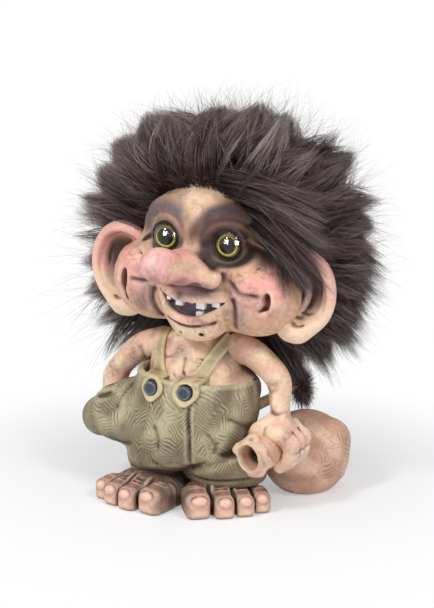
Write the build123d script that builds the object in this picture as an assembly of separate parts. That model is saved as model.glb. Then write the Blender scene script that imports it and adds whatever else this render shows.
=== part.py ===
from build123d import *
import math
import os
import random

# A folk troll figure, about 15 cm tall with its hair, that stands barefoot on its own two feet.
# It faces -Y, +Z is up and the sizes are millimetres. Its own left hand is on the +X side.
# Places in the body lists are measured from the floor below the neck, and places on the
# head are measured from the middle of the skull. "Radii" are half widths along X, Y and Z.

# Where the figure stands: the floor point below the neck, seen from the middle of the whole outline
FIGURE_AT = (4.4, -8.2, 0.0)

# Head
HEAD_AT = (2.6, 4.0, 91.1)
HEAD_ROLL = 2.5
SKULL_AT, SKULL_RADII = (0.0, 2.0, 6.0), (26.0, 26.5, 28.5)
LEFT_CHEEK_AT, RIGHT_CHEEK_AT = (19.2, -8.5, -11.0), (-20.6, -9.0, -10.2)
CHEEK_RADII = (17.0, 14.0, 15.5)
MUZZLE_AT, MUZZLE_RADII = (0.0, -15.0, -13.5), (15.0, 13.5, 15.0)
JAW_AT, JAW_RADII = (0.0, -4.0, -13.0), (25.0, 18.0, 15.5)
CHIN_AT, CHIN_RADII = (0.0, -17.5, -22.5), (9.0, 7.5, 6.0)
BROW_AT, BROW_RADII = (11.5, -17.6, 15.4), (8.6, 5.0, 3.8)
SOCKET_AT, SOCKET_RADII = (12.4, -24.0, 8.2), (7.6, 4.6, 6.6)
LIP_AT, LIP_RADII = (0.0, -21.0, -19.0), (11.5, 6.8, 3.6)

# Nose: from its root between the eyes to the round tip, with a wing on each side
NOSE_ROOT_AT, NOSE_ROOT_RADII = (0.0, -21.5, 3.0), (9.0, 10.0, 8.6)
NOSE_BRIDGE_AT, NOSE_BRIDGE_RADII = (-1.8, -31.0, 2.6), (8.2, 14.0, 7.4)
NOSE_TIP_AT, NOSE_TIP_RADII = (-4.2, -41.5, 3.2), (6.9, 7.2, 6.8)
NOSE_WING_AT, NOSE_WING_RADII = (8.8, -26.5, -1.6), (6.4, 6.4, 4.8)

# Mouth: a smile cut into the muzzle
MOUTH_HALF_WIDTH = 13.3
MOUTH_CORNER_Z = -10.2
MOUTH_ROOF_Z = -11.6
MOUTH_FLOOR_Z = -17.0
MOUTH_BACK_Y = -20.5
TOOTH_WIDTH, TOOTH_HEIGHT, TOOTH_DEPTH = 3.0, 2.6, 4.2
TOOTH_ROUNDING = 0.5
TOOTH_ROOT = 1.6
UPPER_TEETH_X = [-8.2, -3.2, 5.0, 9.8]
LOWER_TOOTH_X = 4.6
LOWER_TOOTH_HEIGHT = 1.7

# Smile dimple beside each end of the mouth
DIMPLE_AT, DIMPLE_RADII = (27.6, -20.6, -10.0), (2.2, 3.4, 3.6)

# Glass eyes: a clear cap over a coloured ring with a black pupil
EYE_AT = (12.2, -18.0, 8.4)
EYE_RADIUS = 5.0
EYELID_RADIUS = 6.3
EYELID_SET_BACK = 0.8
EYELID_FRONT = 2.2
IRIS_SET_FORWARD = 1.5
IRIS_THICKNESS = 0.7
PUPIL_RADIUS = 2.1

# Ears: a thick rim around a hollow, standing out from the side of the head
EAR_AT, EAR_RADII = (36.0, -5.0, -9.4), (13.0, 6.0, 17.2)
EAR_HOLLOW_AT, EAR_HOLLOW_RADII = (37.2, -10.6, -8.4), (9.6, 7.0, 13.4)

# Torso and neck: a list of level oval sections from the waist up
TORSO_PLACES = [(-4.5, -3.5, 40.0), (-4.5, -3.0, 48.0), (-4.2, -1.6, 55.0), (-3.6, 0.0, 60.0),
                (-2.0, 1.5, 64.0), (-0.6, 2.6, 70.0)]
TORSO_RADII = [(17.5, 13.5), (17.5, 12.5), (17.0, 11.0), (13.6, 9.6), (9.6, 8.8), (8.6, 8.6)]

# Trousers: oval sections from the seat up to the waist, each tipped sideways by some degrees
TROUSER_PLACES = [(-6.5, -7.0, 11.0), (-5.0, -6.4, 16.0), (-4.4, -6.2, 25.0), (-3.6, -5.8, 35.0),
                  (-3.0, -5.0, 42.0), (-2.6, -4.6, 47.0)]
TROUSER_RADII = [(14.0, 10.0), (22.5, 18.5), (25.2, 21.2), (25.6, 20.6), (24.0, 19.0), (22.6, 17.6)]
TROUSER_TIPS = [-14.0, -12.0, -8.0, -3.0, 1.0, 2.5]
RIM_WALL = 1.8
RIM_DEPTH = 3.0
POCKET_AT, POCKET_RADII = (-36.5, -9.5, 27.0), (11.2, 10.0, 11.6)
HIP_AT, HIP_RADII = (-27.0, -7.5, 29.0), (15.0, 12.0, 14.5)
LEFT_CUFF_AT, LEFT_CUFF_RADII = (10.5, -8.5), (17.0, 13.5)
RIGHT_CUFF_AT, RIGHT_CUFF_RADII = (-16.5, -9.0), (12.0, 12.5)
CUFF_BOTTOM_Z, CUFF_TOP_Z = 8.8, 21.0
CUFF_TAPER = 1.6

# Braces: a strap over each shoulder that ends in a loop around a button
STRAP_WIDTH = 5.2
STRAP_THICKNESS = 1.3
LEFT_STRAP_X, LEFT_STRAP_LEAN = 1.6, 27.0
RIGHT_STRAP_X, RIGHT_STRAP_LEAN = -12.6, -13.0
BUTTON_Z = 44.6
BUTTON_RADIUS = 2.6
BUTTON_THICKNESS = 1.5
LOOP_RADIUS = 4.8
LOOP_GAP = 0.35

# Arms: places of shoulder, elbow and wrist, and the radius at each
RIGHT_ARM_PLACES = [(-19.0, 0.0, 56.0), (-28.5, -1.0, 52.5), (-37.6, -3.0, 42.0), (-37.0, -8.0, 32.0)]
RIGHT_ARM_RADII = [5.6, 5.0, 4.3, 3.9]
LEFT_ARM_PLACES = [(12.0, 0.0, 57.0), (19.5, -1.0, 55.0), (28.4, -1.0, 47.0), (30.6, -4.0, 37.5),
                   (31.6, -5.5, 31.5)]
LEFT_ARM_RADII = [5.8, 5.2, 4.7, 3.7, 4.0]
PALM_AT, PALM_RADII = (31.8, -6.0, 29.6), (5.8, 8.6, 4.6)

# Hand: three fingers around the neck of the sack and a thumb along its near side
FINGER_PLACES = [(34.0, 0.0, 29.6), (37.6, 0.6, 25.6), (37.2, 1.0, 20.2), (33.6, 1.2, 17.2)]
FINGER_RADII = [3.2, 3.1, 2.9, 2.7]
FINGER_FIRST_Y, FINGER_STEP_Y = -11.6, 5.4
FINGER_COUNT = 3
THUMB_PLACES = [(29.0, -8.0, 32.5), (25.2, -10.5, 29.4), (23.2, -11.5, 25.2)]
THUMB_RADII = [3.4, 3.1, 2.8]

# Feet: places on each foot are measured from under the middle of its toes, with the toes at -Y
LEFT_TOES_AT, LEFT_SPLAY = (16.6, -20.0, 0.0), 37.0
RIGHT_TOES_AT, RIGHT_SPLAY = (-18.4, -26.6, 0.0), -14.0
INSTEP_AT, INSTEP_RADII = (0.0, 9.0, 2.5), (15.4, 14.0, 8.8)
HEEL_AT, HEEL_RADII = (-1.0, 22.0, 3.0), (8.4, 9.5, 8.0)
ANKLE_AT, ANKLE_RADIUS, ANKLE_TOP_Z = (-1.0, 18.0), 6.8, 18.0
TOE_PLACES = [(-11.2, 0.0, 4.4), (-2.0, -2.0, 4.0), (5.6, -1.8, 3.9), (12.2, 0.4, 3.7)]
TOE_RADII = [(5.3, 8.2, 5.6), (4.4, 7.6, 4.9), (4.2, 7.2, 4.7), (3.9, 6.8, 4.5)]

# Sack: a full round bag on the floor, with a rolled neck that the left hand holds
SACK_AT, SACK_RADII = (32.0, 18.2, 13.4), (16.6, 17.4, 16.4)
SACK_CORNER_AT, SACK_CORNER_RADII = (41.5, 18.5, 19.5), (7.8, 9.5, 8.2)
NECK_PLACES = [(26.2, -18.4, 22.4), (28.0, -13.2, 22.6), (31.0, -4.5, 22.6), (33.0, 3.0, 21.6),
               (33.4, 10.0, 19.5)]
NECK_RADII = [7.0, 6.0, 5.4, 6.6, 10.0]
NECK_HOLE_RADIUS, NECK_HOLE_END_RADIUS, NECK_HOLE_DEPTH = 5.2, 3.2, 9.0

# Tail: leaves the seat of the trousers and ends in a tuft of fur behind the left arm
TAIL_PLACES = [(-3.0, 12.0, 24.0), (3.0, 21.0, 24.0), (12.0, 25.5, 29.0), (24.5, 25.8, 36.0)]
TAIL_RADII = [2.8, 2.4, 2.1, 1.9]
TAIL_TUFT_AT, TAIL_TUFT_RADII = (27.0, 25.6, 37.4), (4.2, 4.2, 5.6)
TAIL_TUFT_REACH = 3.4

# Wig: a cloth backing glued to the skull, and the fur that stands out from it
BACKING_THICKNESS = 1.0
FUR_MIDDLE = (2.0, 10.0, 92.0)
# Where the longest tufts of the wig end, all around the head
FUR_TIPS = [(-73.0, 20.0, 84.0), (-66.0, 15.0, 104.0), (-58.0, 12.0, 120.0), (-42.0, 8.0, 134.0),
            (-28.0, 5.0, 139.0), (-13.0, 4.0, 146.0), (2.0, 0.0, 143.0), (18.0, 4.0, 151.0),
            (32.0, 6.0, 144.0), (47.0, 8.0, 140.0), (56.0, 8.0, 126.0), (64.0, 8.0, 108.0),
            (66.0, 10.0, 96.0), (62.0, 14.0, 80.0), (56.0, 18.0, 68.0), (46.0, 20.0, 50.0),
            (28.0, 30.0, 40.0), (0.0, 40.0, 38.0), (-36.0, 34.0, 34.0), (-60.0, 25.0, 35.0),
            (-67.0, 24.0, 44.0), (-72.0, 22.0, 62.0), (0.0, 62.0, 95.0), (30.0, 54.0, 96.0),
            (-34.0, 54.0, 96.0), (0.0, 52.0, 125.0), (26.0, 46.0, 128.0), (-28.0, 46.0, 128.0),
            (0.0, 52.0, 64.0), (28.0, 46.0, 64.0), (-32.0, 46.0, 62.0), (0.0, -18.0, 134.0),
            (24.0, -16.0, 132.0), (-22.0, -16.0, 128.0), (46.0, -10.0, 108.0), (-44.0, -8.0, 104.0)]
# How strongly the nearest of these tufts sets the length of the fur in its direction
TUFT_FOCUS = 26
TUFT_ROWS, TUFT_COLUMNS = 9, 16
# The fur is dense up to this share of its length, and each tuft ends between the least share and all of it
DENSE_SHARE, TUFT_LEAST_SHARE = 0.8, 0.9
TUFT_SEED = 4
TAIL_TUFT_ROWS, TAIL_TUFT_COLUMNS = 4, 8
# The hairline in side view: depth and height on the head, from above the forehead to the nape
HAIRLINE = [(-70.0, 56.0), (-16.0, 28.0), (-11.0, 14.0), (-2.0, 6.0), (3.0, -10.0), (9.5, -28.0),
            (9.5, -80.0), (-70.0, -80.0)]
HAIR_HALF_WIDTH = 90.0

# How far a cutting shape runs past what it cuts
OVERRUN = 30.0


def egg(place, radii):
    # The poles of the ball lie front and back
    return Pos(*place) * scale(Rot(-90, 0, 90) * Sphere(1), by=tuple(radii))


def upright_egg(place, radii):
    # The poles of the ball lie at its top and bottom
    return Pos(*place) * scale(Sphere(1), by=tuple(radii))


def rod(start, end, start_radius, end_radius):
    line = Vector(*end) - Vector(*start)
    plane = Plane(origin=start, z_dir=line)
    return loft([plane * Circle(start_radius), plane.offset(line.length) * Circle(end_radius)])


def balls(places, radii):
    return [Pos(*place) * Sphere(radius) for place, radius in zip(places, radii)]


def rods(places, radii):
    return [rod(places[i - 1], places[i], radii[i - 1], radii[i]) for i in range(1, len(places))]


def limb(places, radii):
    return Part() + balls(places, radii) + rods(places, radii)


def mirrored(place, side):
    return (place[0] * side, place[1], place[2])


def oval_stack(places, radii, tips, grow):
    sections = []
    for place, radius, tip in zip(places, radii, tips):
        oval = Ellipse(radius[0] + grow, radius[1] + grow)
        sections.append(Pos(*place) * Rot(0, tip, 0) * oval)
    return loft(sections)


def on_head(shape):
    return Pos(*HEAD_AT) * Rot(0, HEAD_ROLL, 0) * shape


def fur_length(direction):
    # The longest tufts nearest to a direction count most
    total, weights = 0, 0
    for tip in FUR_TIPS:
        reach = Vector(*tip) - Vector(*FUR_MIDDLE)
        weight = math.exp(TUFT_FOCUS * (direction.dot(reach.normalized()) - 1))
        total += weight * reach.length
        weights += weight
    return total / weights


def wig_point(direction, share):
    # The dense body of the fur lies below the ends of its tufts
    length = fur_length(direction)
    return Vector(*FUR_MIDDLE) + direction * length * (DENSE_SHARE + (1 - DENSE_SHARE) * share)


def tail_point(direction, share):
    radii = [radius + TAIL_TUFT_REACH * share for radius in TAIL_TUFT_RADII]
    return Vector(*[c + d * r for c, d, r in zip(TAIL_TUFT_AT, direction, radii)])


def tufted(place_at, rows, columns, seed):
    # A closed ball of pointed tufts, each with its own length
    lengths = random.Random(seed)

    def point(row, column, share):
        polar = math.pi * row / rows
        turn = 2 * math.pi * column / columns
        return place_at(Vector(math.sin(polar) * math.cos(turn), math.sin(polar) * math.sin(turn),
                               math.cos(polar)), share)

    faces = []
    for row in range(rows):
        for column in range(columns):
            tip = point(row + 0.5, column + 0.5, lengths.uniform(TUFT_LEAST_SHARE, 1))
            corners = [point(row, column, 0), point(row + 1, column, 0),
                       point(row + 1, column + 1, 0), point(row, column + 1, 0)]
            if row == 0:
                corners = corners[:3]
            if row == rows - 1:
                corners = [corners[0], corners[1], corners[3]]
            for i, corner in enumerate(corners):
                following = corners[(i + 1) % len(corners)]
                faces.append(Face(Wire.make_polygon([corner, following, tip])))
    return Part() + Solid(Shell(faces))


def cheeks():
    return [egg(RIGHT_CHEEK_AT, CHEEK_RADII), egg(LEFT_CHEEK_AT, CHEEK_RADII)]


def head_shape():
    lumps = [egg(SKULL_AT, SKULL_RADII), egg(MUZZLE_AT, MUZZLE_RADII), egg(JAW_AT, JAW_RADII),
             egg(CHIN_AT, CHIN_RADII), egg(LIP_AT, LIP_RADII)]
    lumps += cheeks()
    shape = Part() + lumps
    shape -= [egg(mirrored(SOCKET_AT, side), SOCKET_RADII) for side in (-1, 1)]
    brows = [egg(mirrored(BROW_AT, side), BROW_RADII) for side in (-1, 1)]
    nose = [egg(NOSE_ROOT_AT, NOSE_ROOT_RADII), egg(NOSE_BRIDGE_AT, NOSE_BRIDGE_RADII),
            egg(NOSE_TIP_AT, NOSE_TIP_RADII)]
    wings = [egg(mirrored(NOSE_WING_AT, side), NOSE_WING_RADII) for side in (-1, 1)]
    lids = [Pos(*mirrored(EYE_AT, side)) * eyelids() for side in (-1, 1)]
    for group in (brows, wings, lids, nose):
        shape += group
    cuts = [mouth_opening()]
    for side in (-1, 1):
        cuts.append(Pos(*mirrored(EYE_AT, side)) * eye_socket())
        cuts.append(egg(mirrored(DIMPLE_AT, side), DIMPLE_RADII))
    return shape - cuts


def eyelids():
    front = Box(OVERRUN, OVERRUN, OVERRUN, align=(Align.CENTER, Align.MAX, Align.CENTER))
    return Pos(0, EYELID_SET_BACK, 0) * Sphere(EYELID_RADIUS) - Pos(0, -EYELID_FRONT, 0) * front


def eye_socket():
    # The front of the ball only, so that the socket has a flat floor for the coloured ring
    front = Box(OVERRUN, OVERRUN, OVERRUN, align=(Align.CENTER, Align.MAX, Align.CENTER))
    return Sphere(EYE_RADIUS) & Pos(0, -IRIS_SET_FORWARD, 0) * front


def mouth_opening():
    left = (-MOUTH_HALF_WIDTH, MOUTH_CORNER_Z)
    right = (MOUTH_HALF_WIDTH, MOUTH_CORNER_Z)
    roof = ThreePointArc(left, (0, MOUTH_ROOF_Z), right)
    floor = ThreePointArc(right, (0, MOUTH_FLOOR_Z), left)
    smile = make_face([roof, floor])
    return Pos(0, MOUTH_BACK_Y, 0) * Rot(90, 0, 0) * extrude(smile, OVERRUN)


def eye_pieces():
    socket = eye_socket()
    slice_box = Box(OVERRUN, IRIS_THICKNESS, OVERRUN, align=(Align.CENTER, Align.MAX, Align.CENTER))
    disc = socket & Pos(0, -IRIS_SET_FORWARD, 0) * slice_box
    pupil_core = Rot(90, 0, 0) * Cylinder(PUPIL_RADIUS, OVERRUN)
    return socket - disc, disc - pupil_core, disc & pupil_core


def ear_shape(side):
    # The side of the head is cut away, so that the ear seats on it
    hollow = egg(mirrored(EAR_HOLLOW_AT, side), EAR_HOLLOW_RADII)
    head_side = [egg(SKULL_AT, SKULL_RADII), egg(JAW_AT, JAW_RADII)] + cheeks()
    return egg(mirrored(EAR_AT, side), EAR_RADII) - ([hollow] + head_side)


def roof_height(x):
    # Height of an arc through the corners of the mouth and the middle of its roof
    sag = MOUTH_CORNER_Z - MOUTH_ROOF_Z
    return MOUTH_ROOF_Z + sag * (x / MOUTH_HALF_WIDTH) ** 2


def floor_height(x):
    sag = MOUTH_CORNER_Z - MOUTH_FLOOR_Z
    return MOUTH_FLOOR_Z + sag * (x / MOUTH_HALF_WIDTH) ** 2


def tooth(x, low, high):
    block = Box(TOOTH_WIDTH, TOOTH_DEPTH, high - low,
                align=(Align.CENTER, Align.MAX, Align.MIN))
    block = fillet(block.edges(), TOOTH_ROUNDING)
    return Pos(x, MOUTH_BACK_Y + TOOTH_ROUNDING, low) * block


def upper_teeth():
    shape = Part()
    for x in UPPER_TEETH_X:
        roof = roof_height(x)
        shape += tooth(x, roof - TOOTH_HEIGHT, roof + TOOTH_ROOT)
    return shape


def lower_tooth():
    floor = floor_height(LOWER_TOOTH_X)
    return tooth(LOWER_TOOTH_X, floor - TOOTH_ROOT, floor + LOWER_TOOTH_HEIGHT)


def torso_shape(grow):
    return oval_stack(TORSO_PLACES, TORSO_RADII, [0] * len(TORSO_PLACES), grow)


def waistband(grow):
    # Grown by some thickness, it also passes that much over the rim
    x, y, z = TROUSER_PLACES[-1]
    places = TROUSER_PLACES[:-1] + [(x, y, z + grow)]
    return oval_stack(places, TROUSER_RADII, TROUSER_TIPS, grow)


def rim_recess():
    x, y, z = TROUSER_PLACES[-1]
    radius_x, radius_y = TROUSER_RADII[-1]
    oval = Ellipse(radius_x - RIM_WALL, radius_y - RIM_WALL)
    return Pos(x, y, z) * Rot(0, TROUSER_TIPS[-1], 0) * Pos(0, 0, -RIM_DEPTH) * extrude(oval, OVERRUN)


def cuff(place, radii):
    low = Pos(*place, CUFF_BOTTOM_Z) * Ellipse(radii[0] - CUFF_TAPER, radii[1] - CUFF_TAPER)
    middle = Pos(*place, (CUFF_BOTTOM_Z + CUFF_TOP_Z) / 2) * Ellipse(*radii)
    high = Pos(*place, CUFF_TOP_Z) * Ellipse(radii[0] - CUFF_TAPER, radii[1] - CUFF_TAPER)
    return loft([low, middle, high])


def trouser_shape():
    shape = waistband(0) + upright_egg(HIP_AT, HIP_RADII) + upright_egg(POCKET_AT, POCKET_RADII)
    shape += cuff(LEFT_CUFF_AT, LEFT_CUFF_RADII)
    shape += cuff(RIGHT_CUFF_AT, RIGHT_CUFF_RADII)
    return shape - rim_recess()


def strap_region(x, lean):
    long_band = Box(STRAP_WIDTH, OVERRUN * 3, OVERRUN * 2, align=(Align.CENTER, Align.CENTER, Align.MIN))
    band = Pos(x, 0, BUTTON_Z) * Rot(0, lean, 0) * long_band
    loop = Pos(x, 0, BUTTON_Z) * Rot(90, 0, 0) * Cylinder(LOOP_RADIUS, OVERRUN * 3)
    return band + loop


def button_core(x, radius):
    post = Cylinder(radius, OVERRUN, align=(Align.CENTER, Align.CENTER, Align.MIN))
    rim_front = TROUSER_PLACES[-1][1] - TROUSER_RADII[-1][1] + RIM_WALL
    return Pos(x, rim_front, BUTTON_Z) * Rot(90, 0, 0) * post


def strap(x, lean, torso, trousers):
    cloth = torso_shape(STRAP_THICKNESS) + waistband(STRAP_THICKNESS)
    shape = cloth & strap_region(x, lean)
    shape -= button_core(x, BUTTON_RADIUS + LOOP_GAP)
    return shape - torso - trousers


def button(x, trousers):
    return (waistband(BUTTON_THICKNESS) & button_core(x, BUTTON_RADIUS)) - trousers


def foot_shape(side):
    ankle = Cylinder(ANKLE_RADIUS, ANKLE_TOP_Z, align=(Align.CENTER, Align.CENTER, Align.MIN))
    lumps = [egg(mirrored(INSTEP_AT, side), INSTEP_RADII), egg(mirrored(HEEL_AT, side), HEEL_RADII),
             Pos(ANKLE_AT[0] * side, ANKLE_AT[1], 0) * ankle]
    lumps += [egg(mirrored(place, side), radii) for place, radii in zip(TOE_PLACES, TOE_RADII)]
    return Part() + lumps - floor_trim()


def floor_trim():
    return Box(OVERRUN * 5, OVERRUN * 5, OVERRUN, align=(Align.CENTER, Align.CENTER, Align.MAX))


def left_arm_shape():
    lumps = balls(LEFT_ARM_PLACES, LEFT_ARM_RADII) + rods(LEFT_ARM_PLACES, LEFT_ARM_RADII)
    lumps += balls(THUMB_PLACES, THUMB_RADII) + rods(THUMB_PLACES, THUMB_RADII)
    lumps.append(egg(PALM_AT, PALM_RADII))
    for i in range(FINGER_COUNT):
        start_y = FINGER_FIRST_Y + FINGER_STEP_Y * i
        places = [(x, y + start_y, z) for x, y, z in FINGER_PLACES]
        lumps += balls(places, FINGER_RADII) + rods(places, FINGER_RADII)
    return Part() + lumps


def sack_shape():
    lumps = [upright_egg(SACK_AT, SACK_RADII), upright_egg(SACK_CORNER_AT, SACK_CORNER_RADII)]
    lumps += rods(NECK_PLACES, NECK_RADII)
    lumps += balls(NECK_PLACES[1:], NECK_RADII[1:])
    line = Vector(*NECK_PLACES[1]) - Vector(*NECK_PLACES[0])
    mouth = Plane(origin=NECK_PLACES[0], z_dir=line)
    hole = loft([mouth.offset(-NECK_HOLE_DEPTH) * Circle(NECK_HOLE_RADIUS),
                 mouth.offset(NECK_HOLE_DEPTH) * Circle(NECK_HOLE_END_RADIUS)])
    return Part() + lumps - hole - floor_trim()


def face_window():
    outline = make_face(Polyline(*HAIRLINE, close=True))
    return on_head(Plane.YZ * extrude(outline, HAIR_HALF_WIDTH, both=True))


def wig_backing(window):
    skull = egg(SKULL_AT, SKULL_RADII)
    cap = egg(SKULL_AT, [radius + BACKING_THICKNESS for radius in SKULL_RADII])
    rest = [egg(JAW_AT, JAW_RADII)] + cheeks()
    ears = [egg(mirrored(EAR_AT, side), EAR_RADII) for side in (-1, 1)]
    return on_head(cap - ([skull] + rest + ears)) - window


def wig_fur(window):
    ball = tufted(wig_point, TUFT_ROWS, TUFT_COLUMNS, TUFT_SEED)
    scalp = [egg(SKULL_AT, [radius + BACKING_THICKNESS for radius in SKULL_RADII]), egg(JAW_AT, JAW_RADII)]
    scalp += cheeks() + [egg(mirrored(EAR_AT, side), EAR_RADII) for side in (-1, 1)]
    return ball - ([on_head(lump) for lump in scalp] + [window])


def tail_tuft():
    return tufted(tail_point, TAIL_TUFT_ROWS, TAIL_TUFT_COLUMNS, TUFT_SEED)


def write(name, shape):
    moved = Pos(*FIGURE_AT) * shape
    export_step(moved, os.path.join("parts", name + ".step"))


os.makedirs("parts", exist_ok=True)

head = on_head(head_shape())
left_foot = Pos(*LEFT_TOES_AT) * Rot(0, 0, LEFT_SPLAY) * foot_shape(1)
right_foot = Pos(*RIGHT_TOES_AT) * Rot(0, 0, RIGHT_SPLAY) * foot_shape(-1)
torso = torso_shape(0) - head
left_arm = left_arm_shape() - torso - head
sack = sack_shape() - left_arm
right_arm = limb(RIGHT_ARM_PLACES, RIGHT_ARM_RADII) - torso - head
trousers = trouser_shape() - [torso, right_arm, left_foot, right_foot, left_arm]

for side, name in ((1, "left"), (-1, "right")):
    place = Pos(*mirrored(EYE_AT, side))
    glass, iris, pupil = eye_pieces()
    write(name + "_glass_eye", on_head(place * glass))
    write(name + "_iris", on_head(place * iris))
    write(name + "_pupil", on_head(place * pupil))

upper = on_head(upper_teeth()) - head
lower = on_head(lower_tooth()) - head

left_strap = strap(LEFT_STRAP_X, LEFT_STRAP_LEAN, torso, trousers) - head - left_arm
right_strap = strap(RIGHT_STRAP_X, RIGHT_STRAP_LEAN, torso, trousers) - head - right_arm

window = face_window()
tuft = tail_tuft()
tail = limb(TAIL_PLACES, TAIL_RADII) - trousers - torso - tuft

write("wig_backing", wig_backing(window))
write("wig_fur", wig_fur(window) - [torso, trousers, left_strap, right_strap, tuft])
write("tail", tail)
write("tail_tuft", tuft - left_arm)
write("head", head)
write("left_ear", on_head(ear_shape(1)))
write("right_ear", on_head(ear_shape(-1)))
write("upper_teeth", upper)
write("lower_tooth", lower)
write("torso", torso)
write("trousers", trousers)
write("left_strap", left_strap)
write("right_strap", right_strap)
write("left_button", button(LEFT_STRAP_X, trousers))
write("right_button", button(RIGHT_STRAP_X, trousers))
write("left_arm", left_arm)
write("right_arm", right_arm)
write("left_foot", left_foot)
write("right_foot", right_foot - left_foot)
write("sack", sack - left_foot - trousers)
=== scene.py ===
import math

import bpy
import numpy as np
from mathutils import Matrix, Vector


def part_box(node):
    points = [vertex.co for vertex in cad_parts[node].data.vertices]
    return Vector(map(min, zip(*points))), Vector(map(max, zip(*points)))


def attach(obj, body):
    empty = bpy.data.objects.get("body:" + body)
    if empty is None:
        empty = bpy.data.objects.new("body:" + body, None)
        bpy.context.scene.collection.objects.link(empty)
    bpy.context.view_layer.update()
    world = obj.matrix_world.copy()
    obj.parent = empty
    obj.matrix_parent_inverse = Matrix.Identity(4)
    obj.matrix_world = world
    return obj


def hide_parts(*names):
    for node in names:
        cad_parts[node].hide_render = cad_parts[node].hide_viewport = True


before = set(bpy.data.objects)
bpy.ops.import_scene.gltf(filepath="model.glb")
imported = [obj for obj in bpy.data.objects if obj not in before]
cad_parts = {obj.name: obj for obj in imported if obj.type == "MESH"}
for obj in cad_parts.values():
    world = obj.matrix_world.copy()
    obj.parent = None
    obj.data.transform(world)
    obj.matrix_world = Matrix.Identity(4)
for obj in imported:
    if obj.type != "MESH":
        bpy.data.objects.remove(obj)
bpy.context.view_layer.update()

import openvdb

# Sizes are in millimetres in the figure's own frame, as in the CAD source: it faces -Y and stands on Z = 0
MM = 0.001
EYE_AT = np.array([12.2, -18.0, 8.4])
EYE_RADIUS = 5.0
IRIS_SET_FORWARD = 1.5
IRIS_THICKNESS = 0.7
HEAD_AT = np.array([2.6, 4.0, 91.1])
HEAD_ROLL = 2.5

# Paints, as they look on a screen, from 0 to 255
CREAM = (244, 214, 184)
TAN = (226, 188, 158)
PINK = (238, 178, 168)
ROSE = (214, 134, 120)
LILAC = (168, 134, 136)
PLUM = (112, 80, 80)
UMBER = (70, 50, 45)
SOOT = (40, 29, 28)


def screen(red, green, blue):
    """The renderer's own numbers for a colour on a screen."""
    part = np.array([red, green, blue], float) / 255
    return np.where(part <= 0.04045, part / 12.92, ((part + 0.055) / 1.055) ** 2.4)


def screen4(colour):
    return (*screen(*colour), 1.0)


def unit(rows, least=0.0):
    """Each row of numbers at length 1."""
    return rows / np.maximum(np.linalg.norm(rows, axis=-1, keepdims=True), least)


def ease(value):
    """From 0 to 1 with soft ends."""
    value = np.clip(value, 0, 1)
    return value * value * (3 - 2 * value)


def smooth_min(a, b, blend):
    """The smaller of two distances, rounded where they meet."""
    if blend <= 0:
        return np.minimum(a, b)
    share = np.clip(0.5 + 0.5 * (b - a) / blend, 0, 1)
    return b + (a - b) * share - blend * share * (1 - share)


def smooth_max(a, b, blend):
    return -smooth_min(-a, -b, blend)


def through(rows, count):
    """A smooth curve through rows of numbers, as count rows."""
    rows = np.array(rows, float)
    padded = np.vstack([2 * rows[0] - rows[1], rows, 2 * rows[-1] - rows[-2]])
    level = np.linspace(0, len(rows) - 1, count)
    span = np.minimum(level.astype(int), len(rows) - 2)
    t = (level - span)[:, None]
    a, b, c, d = (padded[span + i] for i in range(4))
    return 0.5 * (2 * b + (c - a) * t + (2 * a - 5 * b + 4 * c - d) * t ** 2
                  + (3 * b - a - 3 * c + d) * t ** 3)


def ripple(points, size, seed, waves=9):
    """Soft blotches between about -1 and 1, size mm apart."""
    random = np.random.default_rng(seed)
    total = np.zeros(len(points))
    for _ in range(waves):
        direction = random.normal(size=3)
        direction *= 2 * math.pi / (size * random.uniform(0.7, 1.5) * np.linalg.norm(direction))
        total += np.sin(points @ direction + random.uniform(0, 2 * math.pi))
    return total / math.sqrt(waves)


def nearest(points, centres):
    """The nearest centre to each point, and how much further away the next one is."""
    groups, edges = [], []
    for part in np.array_split(points, len(points) // 8000 + 1):
        gaps = ((part[:, None, :] - centres[None]) ** 2).sum(2)
        order = np.argpartition(gaps, 1, axis=1)[:, :2]
        near = np.sqrt(np.take_along_axis(gaps, order, 1))
        groups.append(np.where(near[:, 0] <= near[:, 1], order[:, 0], order[:, 1]))
        edges.append(abs(near[:, 1] - near[:, 0]))
    return np.concatenate(groups), np.concatenate(edges)


def on_head(points):
    """Points of the head's own frame in the figure's frame."""
    turn = math.radians(HEAD_ROLL)
    x, y, z = points.T
    rolled = np.column_stack([x * math.cos(turn) + z * math.sin(turn), y,
                              z * math.cos(turn) - x * math.sin(turn)])
    return rolled + HEAD_AT


def off_head(paths):
    """The head's own x, y and z of points in the figure's frame."""
    turn = math.radians(-HEAD_ROLL)
    x, y, z = np.moveaxis(paths - HEAD_AT, -1, 0)
    return x * math.cos(turn) + z * math.sin(turn), y, z * math.cos(turn) - x * math.sin(turn)


# The CAD figure stands with the middle of its box over the origin, so its left pupil tells where the
# figure's own frame is
pupil_low, pupil_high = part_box("left_pupil")
pupil_own = EYE_AT - [0, IRIS_SET_FORWARD + IRIS_THICKNESS / 2, 0]
FIGURE_AT = np.array((pupil_low + pupil_high) / 2) / MM - on_head(pupil_own[None])[0]


def side_of(place, side):
    """A place on the figure's left side, or its mirror image for side -1."""
    return [place[0] * side, *place[1:]]


def sides_of(places, side):
    return [side_of(place, side) for place in places]


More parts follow.
